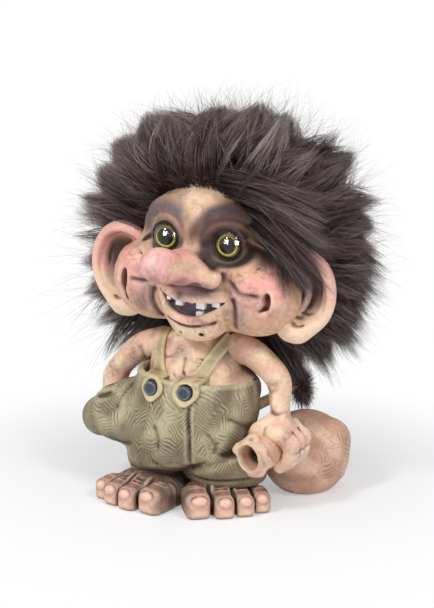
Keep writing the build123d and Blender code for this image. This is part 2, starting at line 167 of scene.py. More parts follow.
class Nodes:
    """The shader nodes of a material or of the world, while they are put together."""

    def __init__(self, owner):
        owner.use_nodes = True
        self.nodes, self.links = owner.node_tree.nodes, owner.node_tree.links

    def fill(self, node, inputs):
        """Each input gets a number, a colour or the output of another node."""
        for name, value in inputs.items():
            if isinstance(value, bpy.types.NodeSocket):
                self.links.new(value, node.inputs[name])
            else:
                node.inputs[name].default_value = value
        return node

    def add(self, kind, inputs=None, **settings):
        """A new shader node of a kind, such as Math or Mix."""
        node = self.nodes.new("ShaderNode" + kind)
        for name, value in settings.items():
            setattr(node, name, value)
        return self.fill(node, inputs or {})

    def noise(self, scale, detail, source=None):
        if source is None:
            source = self.add("TexCoord").outputs["Object"]
        return self.add("TexNoise", {"Scale": scale, "Detail": detail, "Vector": source}).outputs["Fac"]

    def ranged(self, value, low, high):
        """Noise brought to a range: its middle values, from 0.3 to 0.7, fill it."""
        return self.add("MapRange", {"From Min": 0.3, "From Max": 0.7, "To Min": low, "To Max": high,
                                     "Value": value}).outputs["Result"]

    def shaded(self, colour, factor):
        return self.add("VectorMath", {0: colour, "Scale": factor}, operation="SCALE").outputs["Vector"]

    def mixed(self, factor, first, second):
        mix = self.add("Mix", {"Factor": factor, "A": first, "B": second}, data_type="RGBA")
        return mix.outputs["Result"]

    def brushed(self):
        """The colours that were brushed on the piece."""
        return self.add("Attribute", attribute_name="paint").outputs["Color"]


def egg(place, radii):
    place, radii = np.array(place, float), np.array(radii, float)

    def distance(x, y, z):
        parts = [(value - centre) / radius for value, centre, radius in zip((x, y, z), place, radii)]
        near = np.sqrt(sum(part ** 2 for part in parts))
        slope = np.sqrt(sum((part / radius) ** 2 for part, radius in zip(parts, radii)))
        return near * (near - 1) / np.maximum(slope, 1e-6)

    return distance, place - radii, place + radii


def limb(places, radii, blend=0.0, smooth=0):
    """A round rod of changing radius along a path."""
    rows = np.column_stack([places, radii]).astype(float)
    if smooth:
        rows = through(rows, smooth)

    def distance(x, y, z):
        total = None
        for start, end in zip(rows[:-1], rows[1:]):
            line = end[:3] - start[:3]
            t = sum((value - s) * part for value, s, part in zip((x, y, z), start, line)) / (line @ line)
            t = np.clip(t, 0, 1)
            gap = np.sqrt(sum((value - s - part * t) ** 2 for value, s, part in zip((x, y, z), start, line)))
            gap -= start[3] + (end[3] - start[3]) * t
            total = gap if total is None else smooth_min(total, gap, blend)
        return total

    reach = rows[:, 3].max()
    return distance, rows[:, :3].min(0) - reach, rows[:, :3].max(0) + reach


def stack(places, radii, tips, grow=0.0, cap_blend=1.5):
    """A column of tipped ovals, smoothly joined."""
    rows = np.column_stack([places, radii, tips]).astype(float)
    table = through(rows, 12 * len(rows))
    levels = np.linspace(0, len(rows) - 1, len(table))

    def height(row, x, z):
        lean = math.radians(row[5])
        return (x - row[0]) * math.sin(lean) + (z - row[2]) * math.cos(lean)

    def distance(x, y, z):
        x, y, z = np.broadcast_arrays(x, y, z)
        level = np.zeros(x.shape)
        for low, high in zip(rows[:-1], rows[1:]):
            above, below = height(low, x, z), height(high, x, z)
            level += np.clip(above / (above - below), 0, 1)
        at = [np.interp(level, levels, column) for column in table.T]
        lean = np.radians(at[5])
        across = (x - at[0]) * np.cos(lean) - (z - at[2]) * np.sin(lean)
        rx, ry = at[3] + grow, at[4] + grow
        near = np.sqrt((across / rx) ** 2 + ((y - at[1]) / ry) ** 2)
        slope = np.sqrt((across / rx ** 2) ** 2 + ((y - at[1]) / ry ** 2) ** 2)
        side = near * (near - 1) / np.maximum(slope, 1e-6)
        ends = np.maximum(height(rows[-1], x, z) - grow, -height(rows[0], x, z) - grow)
        return smooth_max(side, ends, cap_blend)

    reach = rows[:, 3:5].max() + grow + 6
    return distance, rows[:, :3].min(0) - reach, rows[:, :3].max(0) + reach


class Clay:
    """A block of space that holds distances to the surface of one piece, in mm."""

    FAR = 8.0

    def __init__(self, low, high, step):
        self.low, self.step = np.array(low, float), step
        count = np.ceil((np.array(high) - self.low) / step).astype(int) + 1
        self.field = np.full(count, self.FAR, np.float32)

    def window(self, low, high):
        first = np.maximum(((np.array(low) - self.low) / self.step).astype(int), 0)
        last = np.minimum(((np.array(high) - self.low) / self.step).astype(int) + 2, self.field.shape)
        last = np.maximum(last, first)
        where = tuple(slice(a, b) for a, b in zip(first, last))
        axes = [self.low[i] + self.step * np.arange(first[i], last[i]) for i in range(3)]
        return where, np.meshgrid(*axes, indexing="ij", sparse=True)

    def add(self, shape, blend=0.0):
        distance, low, high = shape
        where, (x, y, z) = self.window(low - self.FAR, high + self.FAR)
        self.field[where] = smooth_min(self.field[where], np.minimum(distance(x, y, z), self.FAR), blend)

    def add_eggs(self, rows):
        """Ovals, each with its place, radii and blend."""
        for place, radii, blend in rows:
            self.add(egg(place, radii), blend)

    def cut(self, shape, blend=0.0):
        distance, low, high = shape
        where, (x, y, z) = self.window(low - blend - 1, high + blend + 1)
        self.field[where] = smooth_max(self.field[where], -distance(x, y, z), blend)

    def keep(self, distance, blend=0.0):
        """Cut away all that lies outside a shape."""
        where, (x, y, z) = self.window(self.low, self.low + self.step * np.array(self.field.shape))
        self.field[where] = smooth_max(self.field[where], distance(x, y, z), blend)

    def press(self, path, width, depth, across=1, reach=40.0, ends=0.25):
        """A crease along a path seen along one axis; a negative depth raises a ridge."""
        rows = through(path, 6 * len(path)) if len(path) > 2 else np.array(path, float)
        low, high = rows.min(0) - 3 * width, rows.max(0) + 3 * width
        low[across] -= reach
        high[across] += reach
        where, grids = self.window(low, high)
        seen = [i for i in range(3) if i != across]
        best, along = None, None
        for i, (start, end) in enumerate(zip(rows[:-1], rows[1:])):
            line = end - start
            length = max(sum(line[k] ** 2 for k in seen), 1e-9)
            t = np.clip(sum((grids[k] - start[k]) * line[k] for k in seen) / length, 0, 1)
            gap = sum((grids[k] - start[k] - line[k] * t) ** 2 for k in seen)
            if best is None:
                best, along = gap, t / (len(rows) - 1)
            else:
                along = np.where(gap < best, (i + t) / (len(rows) - 1), along)
                best = np.minimum(gap, best)
        fade = np.clip(np.minimum(along, 1 - along) / ends, 0, 1) if ends else 1.0
        depth_here = depth * np.exp(-best / width ** 2) * fade
        middle = rows[:, across].mean()
        depth_here = depth_here * np.clip((reach - abs(grids[across] - middle)) / 4, 0, 1)
        self.field[where] += depth_here.astype(np.float32)

    def creases(self, paths, width, depth, side=1, **how):
        for path in paths:
            self.press(sides_of(path, side), width, depth, **how)

    def surface(self):
        """Points, faces, how hollow the surface is at each point, and its normals."""
        grid = openvdb.FloatGrid(background=self.FAR)
        grid.copyFromArray(self.field)
        points, quads = grid.convertToQuads(isovalue=0)
        points, quads = np.array(points, float), np.array(quads)
        corner = points[quads]
        volume = np.einsum("ij,ij->i", corner[:, 0], np.cross(corner[:, 1], corner[:, 2])).sum()
        volume += np.einsum("ij,ij->i", corner[:, 0], np.cross(corner[:, 2], corner[:, 3])).sum()
        if volume < 0:
            quads = quads[:, ::-1]
        hollow = [-self.sample(self.blurred(radius), points) / radius for radius in (1.2, 3.5)]
        normal = unit(np.column_stack([self.slope(points, axis) for axis in range(3)]), 1e-6)
        return Skin(points * self.step + self.low, quads, hollow, normal)

    def blurred(self, radius):
        half = max(int(round(radius / self.step / 1.7)), 1)
        band = np.clip(self.field, -2 * radius, 2 * radius)
        for _ in range(2):
            for axis in range(3):
                band = np.moveaxis(band, axis, 0)
                first, last = np.repeat(band[:1], half + 1, 0), np.repeat(band[-1:], half, 0)
                total = np.cumsum(np.concatenate([first, band, last]), axis=0, dtype=np.float64)
                band = ((total[2 * half + 1:] - total[:-2 * half - 1]) / (2 * half + 1)).astype(np.float32)
                band = np.moveaxis(band, 0, axis)
        return band

    def sample(self, field, points):
        """The field's values between its grid points."""
        points = np.clip(points, 0, np.array(field.shape) - 1.001)
        base = points.astype(int)
        share = points - base
        total = 0
        for corner in np.indices((2, 2, 2)).reshape(3, -1).T:
            weight = abs(1 - corner - share).prod(1)
            total = total + weight * field[tuple((base + corner).T)]
        return total

    def slope(self, points, axis):
        step = np.zeros(3)
        step[axis] = 1
        return self.sample(self.field, points + step) - self.sample(self.field, points - step)


class Skin:
    """The surface of one piece while it is carved and painted."""

    def __init__(self, points, faces, hollow, normal):
        self.points, self.faces, self.hollow, self.normal = points, faces, hollow, normal
        self.colour = np.zeros((len(points), 3))

    def coat(self, paint):
        self.colour[:] = screen(*paint)

    def brush(self, paint, mask):
        mask = np.clip(mask, 0, 1)[:, None]
        self.colour = self.colour * (1 - mask) + screen(*paint) * mask

    def dabs(self, rows, side=1):
        """Soft ovals, each with its paint, strength, place, radii and softness."""
        for paint, amount, place, radii, soft in rows:
            self.brush(paint, amount * self.near(side_of(place, side), radii, soft))

    def near(self, place, radii, soft=1.0):
        """A soft oval around a place."""
        gap = np.sqrt((((self.points - place) / radii) ** 2).sum(1))
        return ease((1 - gap) / soft)

    def line(self, path, width, across=1):
        """A soft line along a path seen along one axis."""
        rows = through(path, 6 * len(path)) if len(path) > 2 else np.array(path, float)
        seen = [i for i in range(3) if i != across]
        best = np.full(len(self.points), 1e9)
        for start, end in zip(rows[:-1], rows[1:]):
            line = (end - start)[seen]
            offset = self.points[:, seen] - start[seen]
            t = np.clip(offset @ line / max(line @ line, 1e-9), 0, 1)
            best = np.minimum(best, ((offset - t[:, None] * line) ** 2).sum(1))
        return np.exp(-best / width ** 2)

    def facing(self, direction, low=0.2, high=0.8):
        """Where the surface looks in a direction."""
        return ease((self.normal @ np.array(direction, float) - low) / (high - low))

    def carve_and_shade(self, count, spacing, depth, seed, dark, pale, strength=0.5, mask=None):
        """Groups of short parallel knife strokes, each group in its own direction, with painted shade in each
        groove and a painted highlight on the crests between.
        """
        random = np.random.default_rng(seed)
        centres = self.points[random.integers(0, len(self.points), count)]
        group, edge = nearest(self.points, centres)
        turn = random.uniform(0, math.pi, count)
        scale = spacing * random.uniform(0.75, 1.35, count)
        level = np.array([0.0, 0.0, 1.0]) + 0.3 * random.normal(size=(count, 3))
        flat = unit(np.cross(self.normal, level[group]), 1e-3)
        rise = np.cross(self.normal, flat)
        offset = self.points - centres[group]
        across = (offset * flat).sum(1) * np.cos(turn[group]) + (offset * rise).sum(1) * np.sin(turn[group])
        across = across + 0.35 * ripple(self.points, 6.0, seed + 1)
        wave = 0.5 + 0.5 * np.cos(2 * math.pi * across / scale[group])
        amount = ease(edge / 1.4) * (0.65 + 0.35 * ripple(self.points, 9.0, seed + 2))
        if mask is not None:
            amount = amount * mask
        groove = wave ** 3 * amount
        crest = (1 - wave) ** 2 * amount
        self.points = self.points - self.normal * (depth * groove)[:, None]
        # Painted shade in the grooves and a painted highlight on the crests
        self.brush(dark, groove * strength)
        self.brush(pale, crest * strength * 0.7)

    def wash_with_shade_and_highlight(self, dark, pale, fine=(0.02, 0.16), broad=(0.06, 0.35), depth=0.8, ridge=0.5):
        """Thin dark paint that stays in the hollows, and pale paint on the ridges: partly the figure's own
        wash, partly painted shade in the hollows and a painted highlight on the ridges.
        """
        blotch = 1 + 0.25 * ripple(self.points, 5.0, 91)
        hollow = ease((self.hollow[0] - fine[0]) / (fine[1] - fine[0]))
        deep = ease((self.hollow[1] - broad[0]) / (broad[1] - broad[0]))
        self.brush(dark, np.maximum(hollow, 0.75 * deep) * depth * blotch)
        proud = ease((-self.hollow[0] - fine[0]) / (fine[1] - fine[0]))
        self.brush(pale, proud * ridge)

    def stains(self, paint, amount, seed):
        """Patches of thin dark paint, dabbed on unevenly."""
        patch = ease(0.2 + 0.55 * ripple(self.points, 7.0, seed))
        dabs = ease(0.5 + 0.7 * ripple(self.points, 1.5, seed + 1, 14))
        self.brush(paint, amount * patch * (0.45 + 0.55 * dabs))

    def streaks(self, amount, seed):
        """Thin broken lines of dark paint left by a nearly dry brush."""
        fine = ripple(self.points * [1.0, 1.0, 0.35], 1.6, seed, 14)
        patch = ease(0.35 + 0.6 * ripple(self.points, 8.0, seed + 1))
        self.brush(UMBER, amount * patch * ease((fine - 0.5) / 0.9))

    def mottle(self, amount, seed):
        shade = 1 + amount * (0.6 * ripple(self.points, 2.2, seed) + 0.4 * ripple(self.points, 7.0, seed + 1))
        self.colour = np.clip(self.colour * shade[:, None], 0, 1)

    def move(self, change):
        self.points = change(self.points)
        return self

    def flip(self, side):
        """The same piece for the figure's left, or its mirror image for side -1."""
        if side < 0:
            self.points = self.points * [-1, 1, 1]
            self.faces = self.faces[:, ::-1]
        return self


def material(name):
    made = bpy.data.materials.new(name)
    nodes = Nodes(made)
    return made, nodes, nodes.nodes["Principled BSDF"]


def hand_paint(name, roughness, grain, depth, specular=0.35):
    """Matt hand paint over a cast surface: the brushed colours, fine grain and faint pores."""
    made, nodes, shader = material(name)
    fine = nodes.noise(grain, 4.0)
    uneven = nodes.ranged(nodes.noise(grain / 3, 2.0), roughness - 0.08, roughness + 0.08)
    bump = nodes.add("Bump", {"Strength": 0.5, "Distance": depth, "Height": fine})
    nodes.fill(shader, {"Base Color": nodes.shaded(nodes.brushed(), nodes.ranged(fine, 0.93, 1.07)),
                        "Roughness": uneven, "Specular IOR Level": specular,
                        "Normal": bump.outputs["Normal"]})
    return made


def linked(name, data):
    """A new object in the scene."""
    made = bpy.data.objects.new(name, data)
    bpy.context.scene.collection.objects.link(made)
    return made


def mesh_piece(name, points, faces, finish, slot, *nodes, smooth=True):
    """A piece from arrays: points in mm in the figure's frame, faces of one size."""
    points = (np.array(points) + FIGURE_AT) * MM
    faces = np.ascontiguousarray(faces, dtype=np.int32)
    mesh = bpy.data.meshes.new(name)
    mesh.vertices.add(len(points))
    mesh.vertices.foreach_set("co", points.astype(np.float32).ravel())
    mesh.loops.add(faces.size)
    mesh.loops.foreach_set("vertex_index", faces.ravel())
    mesh.polygons.add(len(faces))
    mesh.polygons.foreach_set("loop_start", np.arange(0, faces.size, faces.shape[1], dtype=np.int32))
    mesh.update(calc_edges=True)
    mesh.validate()
    mesh.polygons.foreach_set("use_smooth", np.full(len(mesh.polygons), smooth))
    mesh.materials.append(finish)
    piece = linked(name, mesh)
    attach(piece, "root")
    if nodes:
        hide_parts(*nodes)
    return piece


def painted_piece(name, skin, finish, slot, *nodes):
    piece = mesh_piece(name, skin.points, skin.faces, finish, slot, *nodes)
    layer = piece.data.attributes.new("paint", "FLOAT_COLOR", "POINT")
    colour = np.column_stack([np.clip(skin.colour, 0, 1), np.ones(len(skin.colour))])
    layer.data.foreach_set("color", colour.astype(np.float32).ravel())
    return piece


def flesh_piece(node, skin):
    """A painted piece of the body itself, named after the CAD node that it replaces."""
    painted_piece("sculpted_" + node, skin, SKIN_PAINT, "painted_skin", node)


SKIN_PAINT = hand_paint("skin_paint", 0.55, 900.0, 0.0002)
CLOTH_PAINT = hand_paint("carved_cloth_paint", 0.62, 700.0, 0.0003)
TOOTH_PAINT = hand_paint("tooth_paint", 0.25, 900.0, 0.0001, 0.5)
BUTTON_PAINT = hand_paint("button_paint", 0.18, 500.0, 0.00005, 0.6)


def mouth_heights(x):
    """The roof and the floor of the open mouth, higher at its right corner."""
    share = (x / 13.3) ** 2
    lift = np.where(np.asarray(x) < 0, 2.4, 0.5)
    return -12.6 + lift * share, -18.0 + (5.4 + lift) * share


def lip_front(x):
    """How far forward the lips stand."""
    return -15 - 13.2 * np.sqrt(np.clip(1 - (x / 15.4) ** 2, 0.1, 1))


def mouth_cut():
    def distance(x, y, z):
        roof, floor = mouth_heights(x)
        roof = roof + 0.2 * np.sin(1.9 * x)
        inside = np.maximum(z - roof, floor - z)
        return np.maximum(np.maximum(inside, abs(x) - 13.6), y - lip_front(x) - 4.0)

    return distance, np.array([-14.0, -40.0, -20.0]), np.array([14.0, -12.0, -9.0])


def eyelid(side):
    eye = EYE_AT * [side, 1, 1]
    ball, low, high = egg(eye + [0, 0.9, 0], [6.4, 6.4, 6.4])

    def distance(x, y, z):
        # The upper lid stands further forward than the lower one
        front = eye[1] - 1.9 - 0.10 * (z - eye[2])
        return smooth_max(ball(x, y, z), front - y, 0.8)

    return distance, low, high


def head_clay():
    clay = Clay([-42, -52, -36], [42, 32, 38], 0.42)
    clay.add_eggs([([0, 2, 6], [26, 26.5, 28.5], 0), ([0, -4, -13], [25, 18, 15.5], 4),
                   ([19.2, -8.5, -11], [17, 14, 15.5], 3), ([-20.6, -9.0, -10.2], [17, 14, 15.5], 3),
                   ([0, -15, -13.5], [15, 13.2, 15], 1.6), ([0.5, -17.5, -22.8], [9.5, 7.5, 6], 3)])
    brow = [[4.5, -19.0, 12.5], [7.4, -18.8, 16.6], [12.5, -17.4, 19.0], [18.5, -14.2, 17.6],
            [22.6, -10.8, 12.6], [24.4, -8.0, 7.0]]
    nose_wing = [[0.0, -32.0, 0.6], [5.0, -29.5, -1.0], [8.8, -26.5, -2.8]]
    for side in (-1, 1):
        clay.cut(egg(side_of([12.4, -24, 8.2], side), [7.8, 4.8, 6.8]), 3.0)
        clay.add(limb(sides_of(brow, side), [1.6, 1.9, 2.0, 2.0, 1.8, 1.6], smooth=18), 7.0)
        clay.add(eyelid(side), 1.8)
        clay.add(limb(sides_of(nose_wing, side), [5.0, 4.4, 3.9], smooth=8), 2.6)
    clay.add_eggs([([0, -20.5, -0.6], [8.6, 9.5, 6.4], 4), ([-1.6, -31, 1.2], [7.2, 14, 5.4], 3),
                   ([-4.2, -41.5, 3.1], [6.8, 7.2, 6.2], 3.5)])
    lips(clay)
    eye_details(clay)
    face_creases(clay)
    return clay


def lips(clay):
    across = np.linspace(-12.6, 12.8, 9)
    roof, floor = mouth_heights(across)
    swell = 1 - (across / 15) ** 2
    front = lip_front(across)
    clay.add(limb(np.column_stack([across, front + 1.6, roof + 1.5]), 1.1 + 0.7 * swell, smooth=24), 2.2)
    clay.add(limb(np.column_stack([across, front + 1.9, floor - 1.4]), 1.1 + 0.9 * swell, smooth=24), 1.4)
    clay.cut(mouth_cut(), 0.5)
    clay.press([[-11.0, -24, -19.2], [-7, -24, -20.8], [1, -24, -21.8], [8.4, -24, -20.6], [11, -24, -18.6]],
               0.9, 0.6, ends=0.2)


def eye_details(clay):
    for side in (-1, 1):
        eye = EYE_AT * [side, 1, 1]
        turn = np.linspace(0, 2 * math.pi, 33)
        rim = eye + np.column_stack([5.9 * np.cos(turn), -1.0 - 0.5 * np.sin(turn), 5.8 * np.sin(turn)])
        clay.add(limb(rim, 0.5 + 0.2 * np.sin(turn)), 0.8)
        arc = np.radians(np.linspace(12, 165, 7))
        for across, high, width, reach in ((9.2, 8.8, 1.0, 12), (8.4, -8.0, 0.8, 10)):
            fold = eye + np.column_stack([across * np.cos(arc) * side, -4 + 0 * arc, high * np.sin(arc)])
            clay.press(fold, width, 0.5, reach=reach)
        clay.cut(egg(eye, [EYE_RADIUS + 0.12] * 3), 0.1)


def face_creases(clay):
    crow = [[18.6, -18, 10.6], [22.5, -16, 7.6], [26.5, -13, 5.4]]
    smile = [[12.6, -22, -3.4], [15.6, -21, -6.2], [18.8, -20, -8.3], [23.5, -20, -8.4], [26.6, -19, -8.8]]
    cheek = [[15.2, -20, -9.6], [16.4, -20, -14.0], [16.0, -19, -18.5], [14.6, -18, -24.0]]
    fine = [[[15 + 2.0 * i, -18, -2.0 + 0.9 * (i % 3)], [19 + 1.8 * i, -18, -2.2 + 1.3 * (i % 4)],
             [23 + 1.1 * i, -18, -1.6 + 0.9 * (i % 3)]] for i in range(6)]
    for side in (-1, 1):
        clay.creases([crow], 0.8, -0.5, side, reach=14)
        clay.creases([[[x, y, z - 2.0] for x, y, z in crow]], 0.8, 0.7, side, reach=14)
        clay.creases([smile], 1.0, 0.8, side, reach=14, ends=0.2)
        clay.creases([cheek], 1.2, 1.1, side, reach=14, ends=0.12)
        beside_cheek = [[[x + (1.4 + i), y, z] for x, y, z in cheek[:3]] for i in range(3)]
        clay.creases(beside_cheek, 0.4, 0.25, side, reach=14)
        clay.cut(egg(side_of([5.4, -32.0, -5.6], side), [2.0, 2.6, 1.8]), 1.4)
        clay.creases(fine, 0.4, 0.28, side, reach=16)
    clay.cut(egg([27.8, -20.9, -10.6], [1.5, 4.0, 3.6]), 0.8)
    clay.press([[27.6, -19, -12.0], [26.6, -19, -13.4], [24.8, -19, -14.6]], 0.7, 1.0, reach=12)
    clay.cut(egg([-28.6, -20.0, -9.4], [1.7, 5.0, 3.9]), 0.8)
    clay.press([[-28.8, -19, -12.0], [-28.0, -18, -15.5], [-26.8, -17, -18.2]], 0.8, 1.1, reach=12)
    clay.add(egg([-2.3, -27.6, -10.6], [1.1, 1.0, 1.0]), 0.5)
    for pit, radius in (([4.7, -23.6, -25.0], 0.9), ([-3.4, -24.2, -25.4], 0.8), ([1.0, -22.6, -28.0], 0.6)):
        clay.cut(egg(pit, [radius, 1.4, radius]), 0.4)


def paint_head(skin):
    x, y, z = skin.points.T
    before_ears = ease((-8 - y) / 4)
    skin.coat((222, 182, 152))
    skin.dabs([((236, 202, 170), 1, [-1, -14, 24], [9, 14, 14], 0.6),
               ((240, 204, 170), 0.9, [-0.6, -20, 11], [4.4, 12, 13], 0.7),
               (CREAM, 1, [0, -22, -26], [14, 12, 7], 0.7)])
    for side in (-1, 1):
        skin.dabs([((236, 168, 158), 1, [25.0, -18, -6.5], [14, 15, 11], 0.7),
                   (ROSE, 0.7, [30.0, -12, 0.0], [7, 10, 6], 0.9),
                   ((220, 150, 138), 0.8, [26.0, -16, -15.5], [9, 10, 8], 0.9),
                   ((226, 178, 142), 0.8, [18.5, -18, -1.0], [8, 8, 4.0], 0.8),
                   (LILAC, 0.8, [19.0, -18, -14.5], [4.5, 9, 7], 0.8)], side)
        band = skin.line(sides_of([[15.2, 0, -8.5], [16.6, 0, -14.0], [16.2, 0, -22.0]], side), 2.0)
        skin.brush((134, 96, 94), 0.75 * band * before_ears)
        smile = [[12.6, 0, -4.0], [15.6, 0, -6.6], [18.8, 0, -8.8], [25.5, 0, -9.0]]
        smile_line = skin.line(sides_of(smile, side), 1.3)
        skin.brush((120, 84, 82), 0.6 * smile_line * before_ears * ease((y + 30) / 4))
    skin.brush(PLUM, 0.75 * skin.near([-20.5, -17, -15.5], [5.0, 9, 8.5], 0.7))
    # The nose: pink at its tip and top, painted shade in grey-lilac on its underside and below it, and a
    # painted highlight in cream on the left wing
    nose = ease((-23.5 - y) / 4) * (z > -8.5) * ease((7.6 - z - 0.2 * (y + 24)) / 3)
    skin.brush((238, 172, 166), nose * 0.97)
    skin.brush((222, 140, 130), 0.4 * nose * skin.near([0.0, -33, 7], [9, 12, 5], 0.9))
    skin.brush((250, 200, 198), 0.6 * skin.near([-3.5, -47, 6.0], [5, 6, 4], 0.9))
    skin.brush((186, 132, 130), 0.8 * nose * skin.facing([0, 0.1, -1], 0.1, 0.9))
    skin.brush((112, 80, 82), 0.8 * nose * skin.near([3.0, -30, -6.0], [10, 8, 3.6], 0.9))
    wing = skin.line([[3.5, 0, 3.8], [7.0, 0, 1.0], [11.0, 0, -2.4]], 1.9)
    skin.brush((238, 198, 162), 0.95 * wing * ease((-23 - y) / 3))
    # The upper lip, with its mole, a painted highlight along its edge, and the pale lower lip
    skin.dabs([((196, 156, 150), 0.85, [0, -24, -10.5], [13, 8, 4.0], 0.6),
               ((158, 124, 128), 0.8, [4.0, -26, -9.4], [10, 7, 2.6], 0.9)])
    edge = skin.line([[-9, 0, -10.6], [0, 0, -11.6], [12, 0, -11.2]], 0.9)
    skin.brush((240, 186, 172), 0.8 * edge * ease((-20 - y) / 3))
    roof, floor = mouth_heights(x)
    skin.brush((246, 184, 168), skin.near([0, -25, -19.4], [12.5, 7, 3.0], 0.5) * (z < floor + 0.6))
    skin.brush((96, 92, 100), skin.near([-2.3, -27.6, -10.6], [1.7, 2.2, 1.7], 0.5))
    # Painted shade in the face's hollows and a painted highlight on its ridges, partly the figure's own wash
    skin.wash_with_shade_and_highlight(UMBER, (250, 222, 194), depth=0.85, ridge=0.35)
    paint_eyes(skin)
    # The lining of the mouth, with painted shade darker under its roof
    inside = (z < roof + 0.3) & (z > floor - 0.2) & (abs(x) < 13.8) & (y < -12)
    depth = ease((y - lip_front(x) - 1.4) / 1.2)
    skin.brush((104, 90, 100), 0.96 * inside * depth)
    skin.brush((48, 36, 40), 0.7 * inside * ease((z - roof + 1.2) / 1.2) * depth)
    # Painted shade: near black inside the slits of the dimples
    left_dimple = skin.near([27.9, -20.0, -10.4], [1.7, 4, 4.0], 0.6)
    right_dimple = skin.near([-28.8, -18.0, -9.6], [1.9, 6, 4.6], 0.6)
    skin.brush(SOOT, 0.9 * (left_dimple + right_dimple))
    skin.brush(PLUM, 0.8 * ease((y - 1.0) / 8.0))
    # Painted shade under the jaw
    skin.brush(UMBER, 0.6 * ease((-27.0 - z) / 5) * ease((y + 18) / 8))
    skin.stains((118, 84, 84), 0.42, 13)
    skin.streaks(0.34, 12)
    skin.mottle(0.09, 11)


# How each eye is painted, the right one more thinly: the strength of the brown over the lids, the dark
# round them and its strength, the arc above, its radius and where it starts, and the upper lid's pale edge
EYE_PAINTS = {1: (0.95, (62, 45, 42), 0.95, (54, 42, 48), 12.4, 2.5, (132, 96, 80)),
              -1: (0.5, (104, 76, 70), 0.6, (104, 90, 96), 11.2, 3.8, (196, 160, 134))}


def paint_eyes(skin):
    x, y, z = skin.points.T
    near_face = ease((-6 - y) / 5) * ease((y + 31) / 5)
    for side in (-1, 1):
        brown_strength, dark, dark_strength, arc, arc_radius, arc_start, pale = EYE_PAINTS[side]
        dx, dz = (x - EYE_AT[0] * side) * side, z - EYE_AT[2]
        radius = np.sqrt(dx ** 2 + dz ** 2)

        def ring(at, width):
            return np.exp(-((radius - at) / width) ** 2)

        above = ease((dz + 2 + 2.0 * (dx > 0)) / 6)
        skin.brush((96, 68, 60), brown_strength * ease((16.5 - radius) / 4) * near_face * above)
        skin.brush(dark, dark_strength * ease((11.0 - radius) / 3.0) * near_face * ease((dz + 10) / 4))
        # The arc goes from the root of the nose out to the temple
        clear = ease((x * side - arc_start) / 2.5)
        skin.brush(arc, 0.92 * (ring(arc_radius, 2.3) * above * clear) * near_face)
        skin.brush(pale, 0.6 * ring(7.9, 0.9) * ease(dz / 3) * near_face)
        skin.brush((50, 38, 38), 0.85 * ring(7.6, 1.1) * ease((2 - dz) / 3) * near_face)
        # A painted highlight on the lower part of the lid's rim
        skin.brush((120, 112, 84), 0.6 * ring(6.3, 0.35) * ease((1 - dz) / 3) * near_face)
        skin.brush((22, 17, 16), ease((6.2 - radius) / 0.35) * near_face)
    # Painted shade on both sides of the root of the nose, and at the left temple under the hair
    skin.brush((66, 48, 50), 0.9 * skin.near([6.0, -21, 5.0], [3.0, 8, 10.0], 0.9) * ease((y + 27) / 4))
    skin.dabs([((126, 90, 84), 0.5, [-5.4, -22, 5.0], [2.2, 6, 8.5], 0.9),
               ((66, 46, 40), 0.97, [25.5, -11, 9.0], [8.5, 12, 12.5], 0.5),
               (SOOT, 0.85, [27.5, -8, 10.5], [6.5, 9, 11], 0.7),
               ((96, 68, 58), 0.85, [17.5, -13, 22.0], [9.0, 12, 7.0], 0.8)])
    crow = skin.line([[18.6, 0, 10.6], [22.0, 0, 7.8], [26.0, 0, 5.6]], 0.5)
    skin.brush((160, 122, 100), 0.75 * crow * ease((-6 - y) / 3))


def make_head():
    skin = head_clay().surface()
    paint_head(skin)
    flesh_piece("head", skin.move(on_head))


def ear_clay():
    clay = Clay([20, -18, -32], [54, 8, 13], 0.34)
    clay.add(egg([35.6, -4.6, -8.8], [12.6, 5.2, 16.2]))
    helix = [[26.5, -7.0, 0.5], [30.0, -8.6, 5.4], [36.2, -9.2, 7.0], [42.6, -9.0, 3.6], [46.4, -8.2, -3.0],
             [47.2, -7.6, -10.0], [45.4, -7.2, -16.0], [41.0, -7.4, -20.5], [36.5, -8.0, -23.0]]
    clay.add(limb(helix, [1.9, 2.2, 2.5, 2.3, 2.0, 1.8, 1.9, 2.6, 3.4], smooth=36), 1.2)
    clay.add(egg([33.5, -7.6, -21.0], [6.8, 4.4, 6.4]), 2.5)
    clay.cut(egg([36.6, -10.6, -7.6], [8.8, 7.2, 12.4]), 1.6)
    inner_fold = [[31.0, -7.6, 0.4], [34.6, -6.6, -1.6], [37.8, -5.8, -6.0], [37.8, -5.8, -11.0],
                  [35.4, -7.0, -16.0]]
    clay.add(limb(inner_fold, [1.0, 1.3, 1.4, 1.3, 1.2], smooth=20), 1.2)
    clay.cut(egg([32.5, -6.5, -9.0], [3.6, 3.4, 5.4]), 1.2)
    clay.add(egg([29.0, -8.6, -10.0], [2.6, 3.0, 4.2]), 1.6)
    clay.creases([[[34, -8, -14.5], [38, -8, -16.5], [41, -8, -15.5]],
                  [[40.5, -8, 0], [42.6, -8, -5], [43.0, -8, -10]],
                  [[33, -8, -19], [36, -8, -20.5], [39.5, -8, -19.5]]], 0.5, 0.5, reach=8)
    return clay


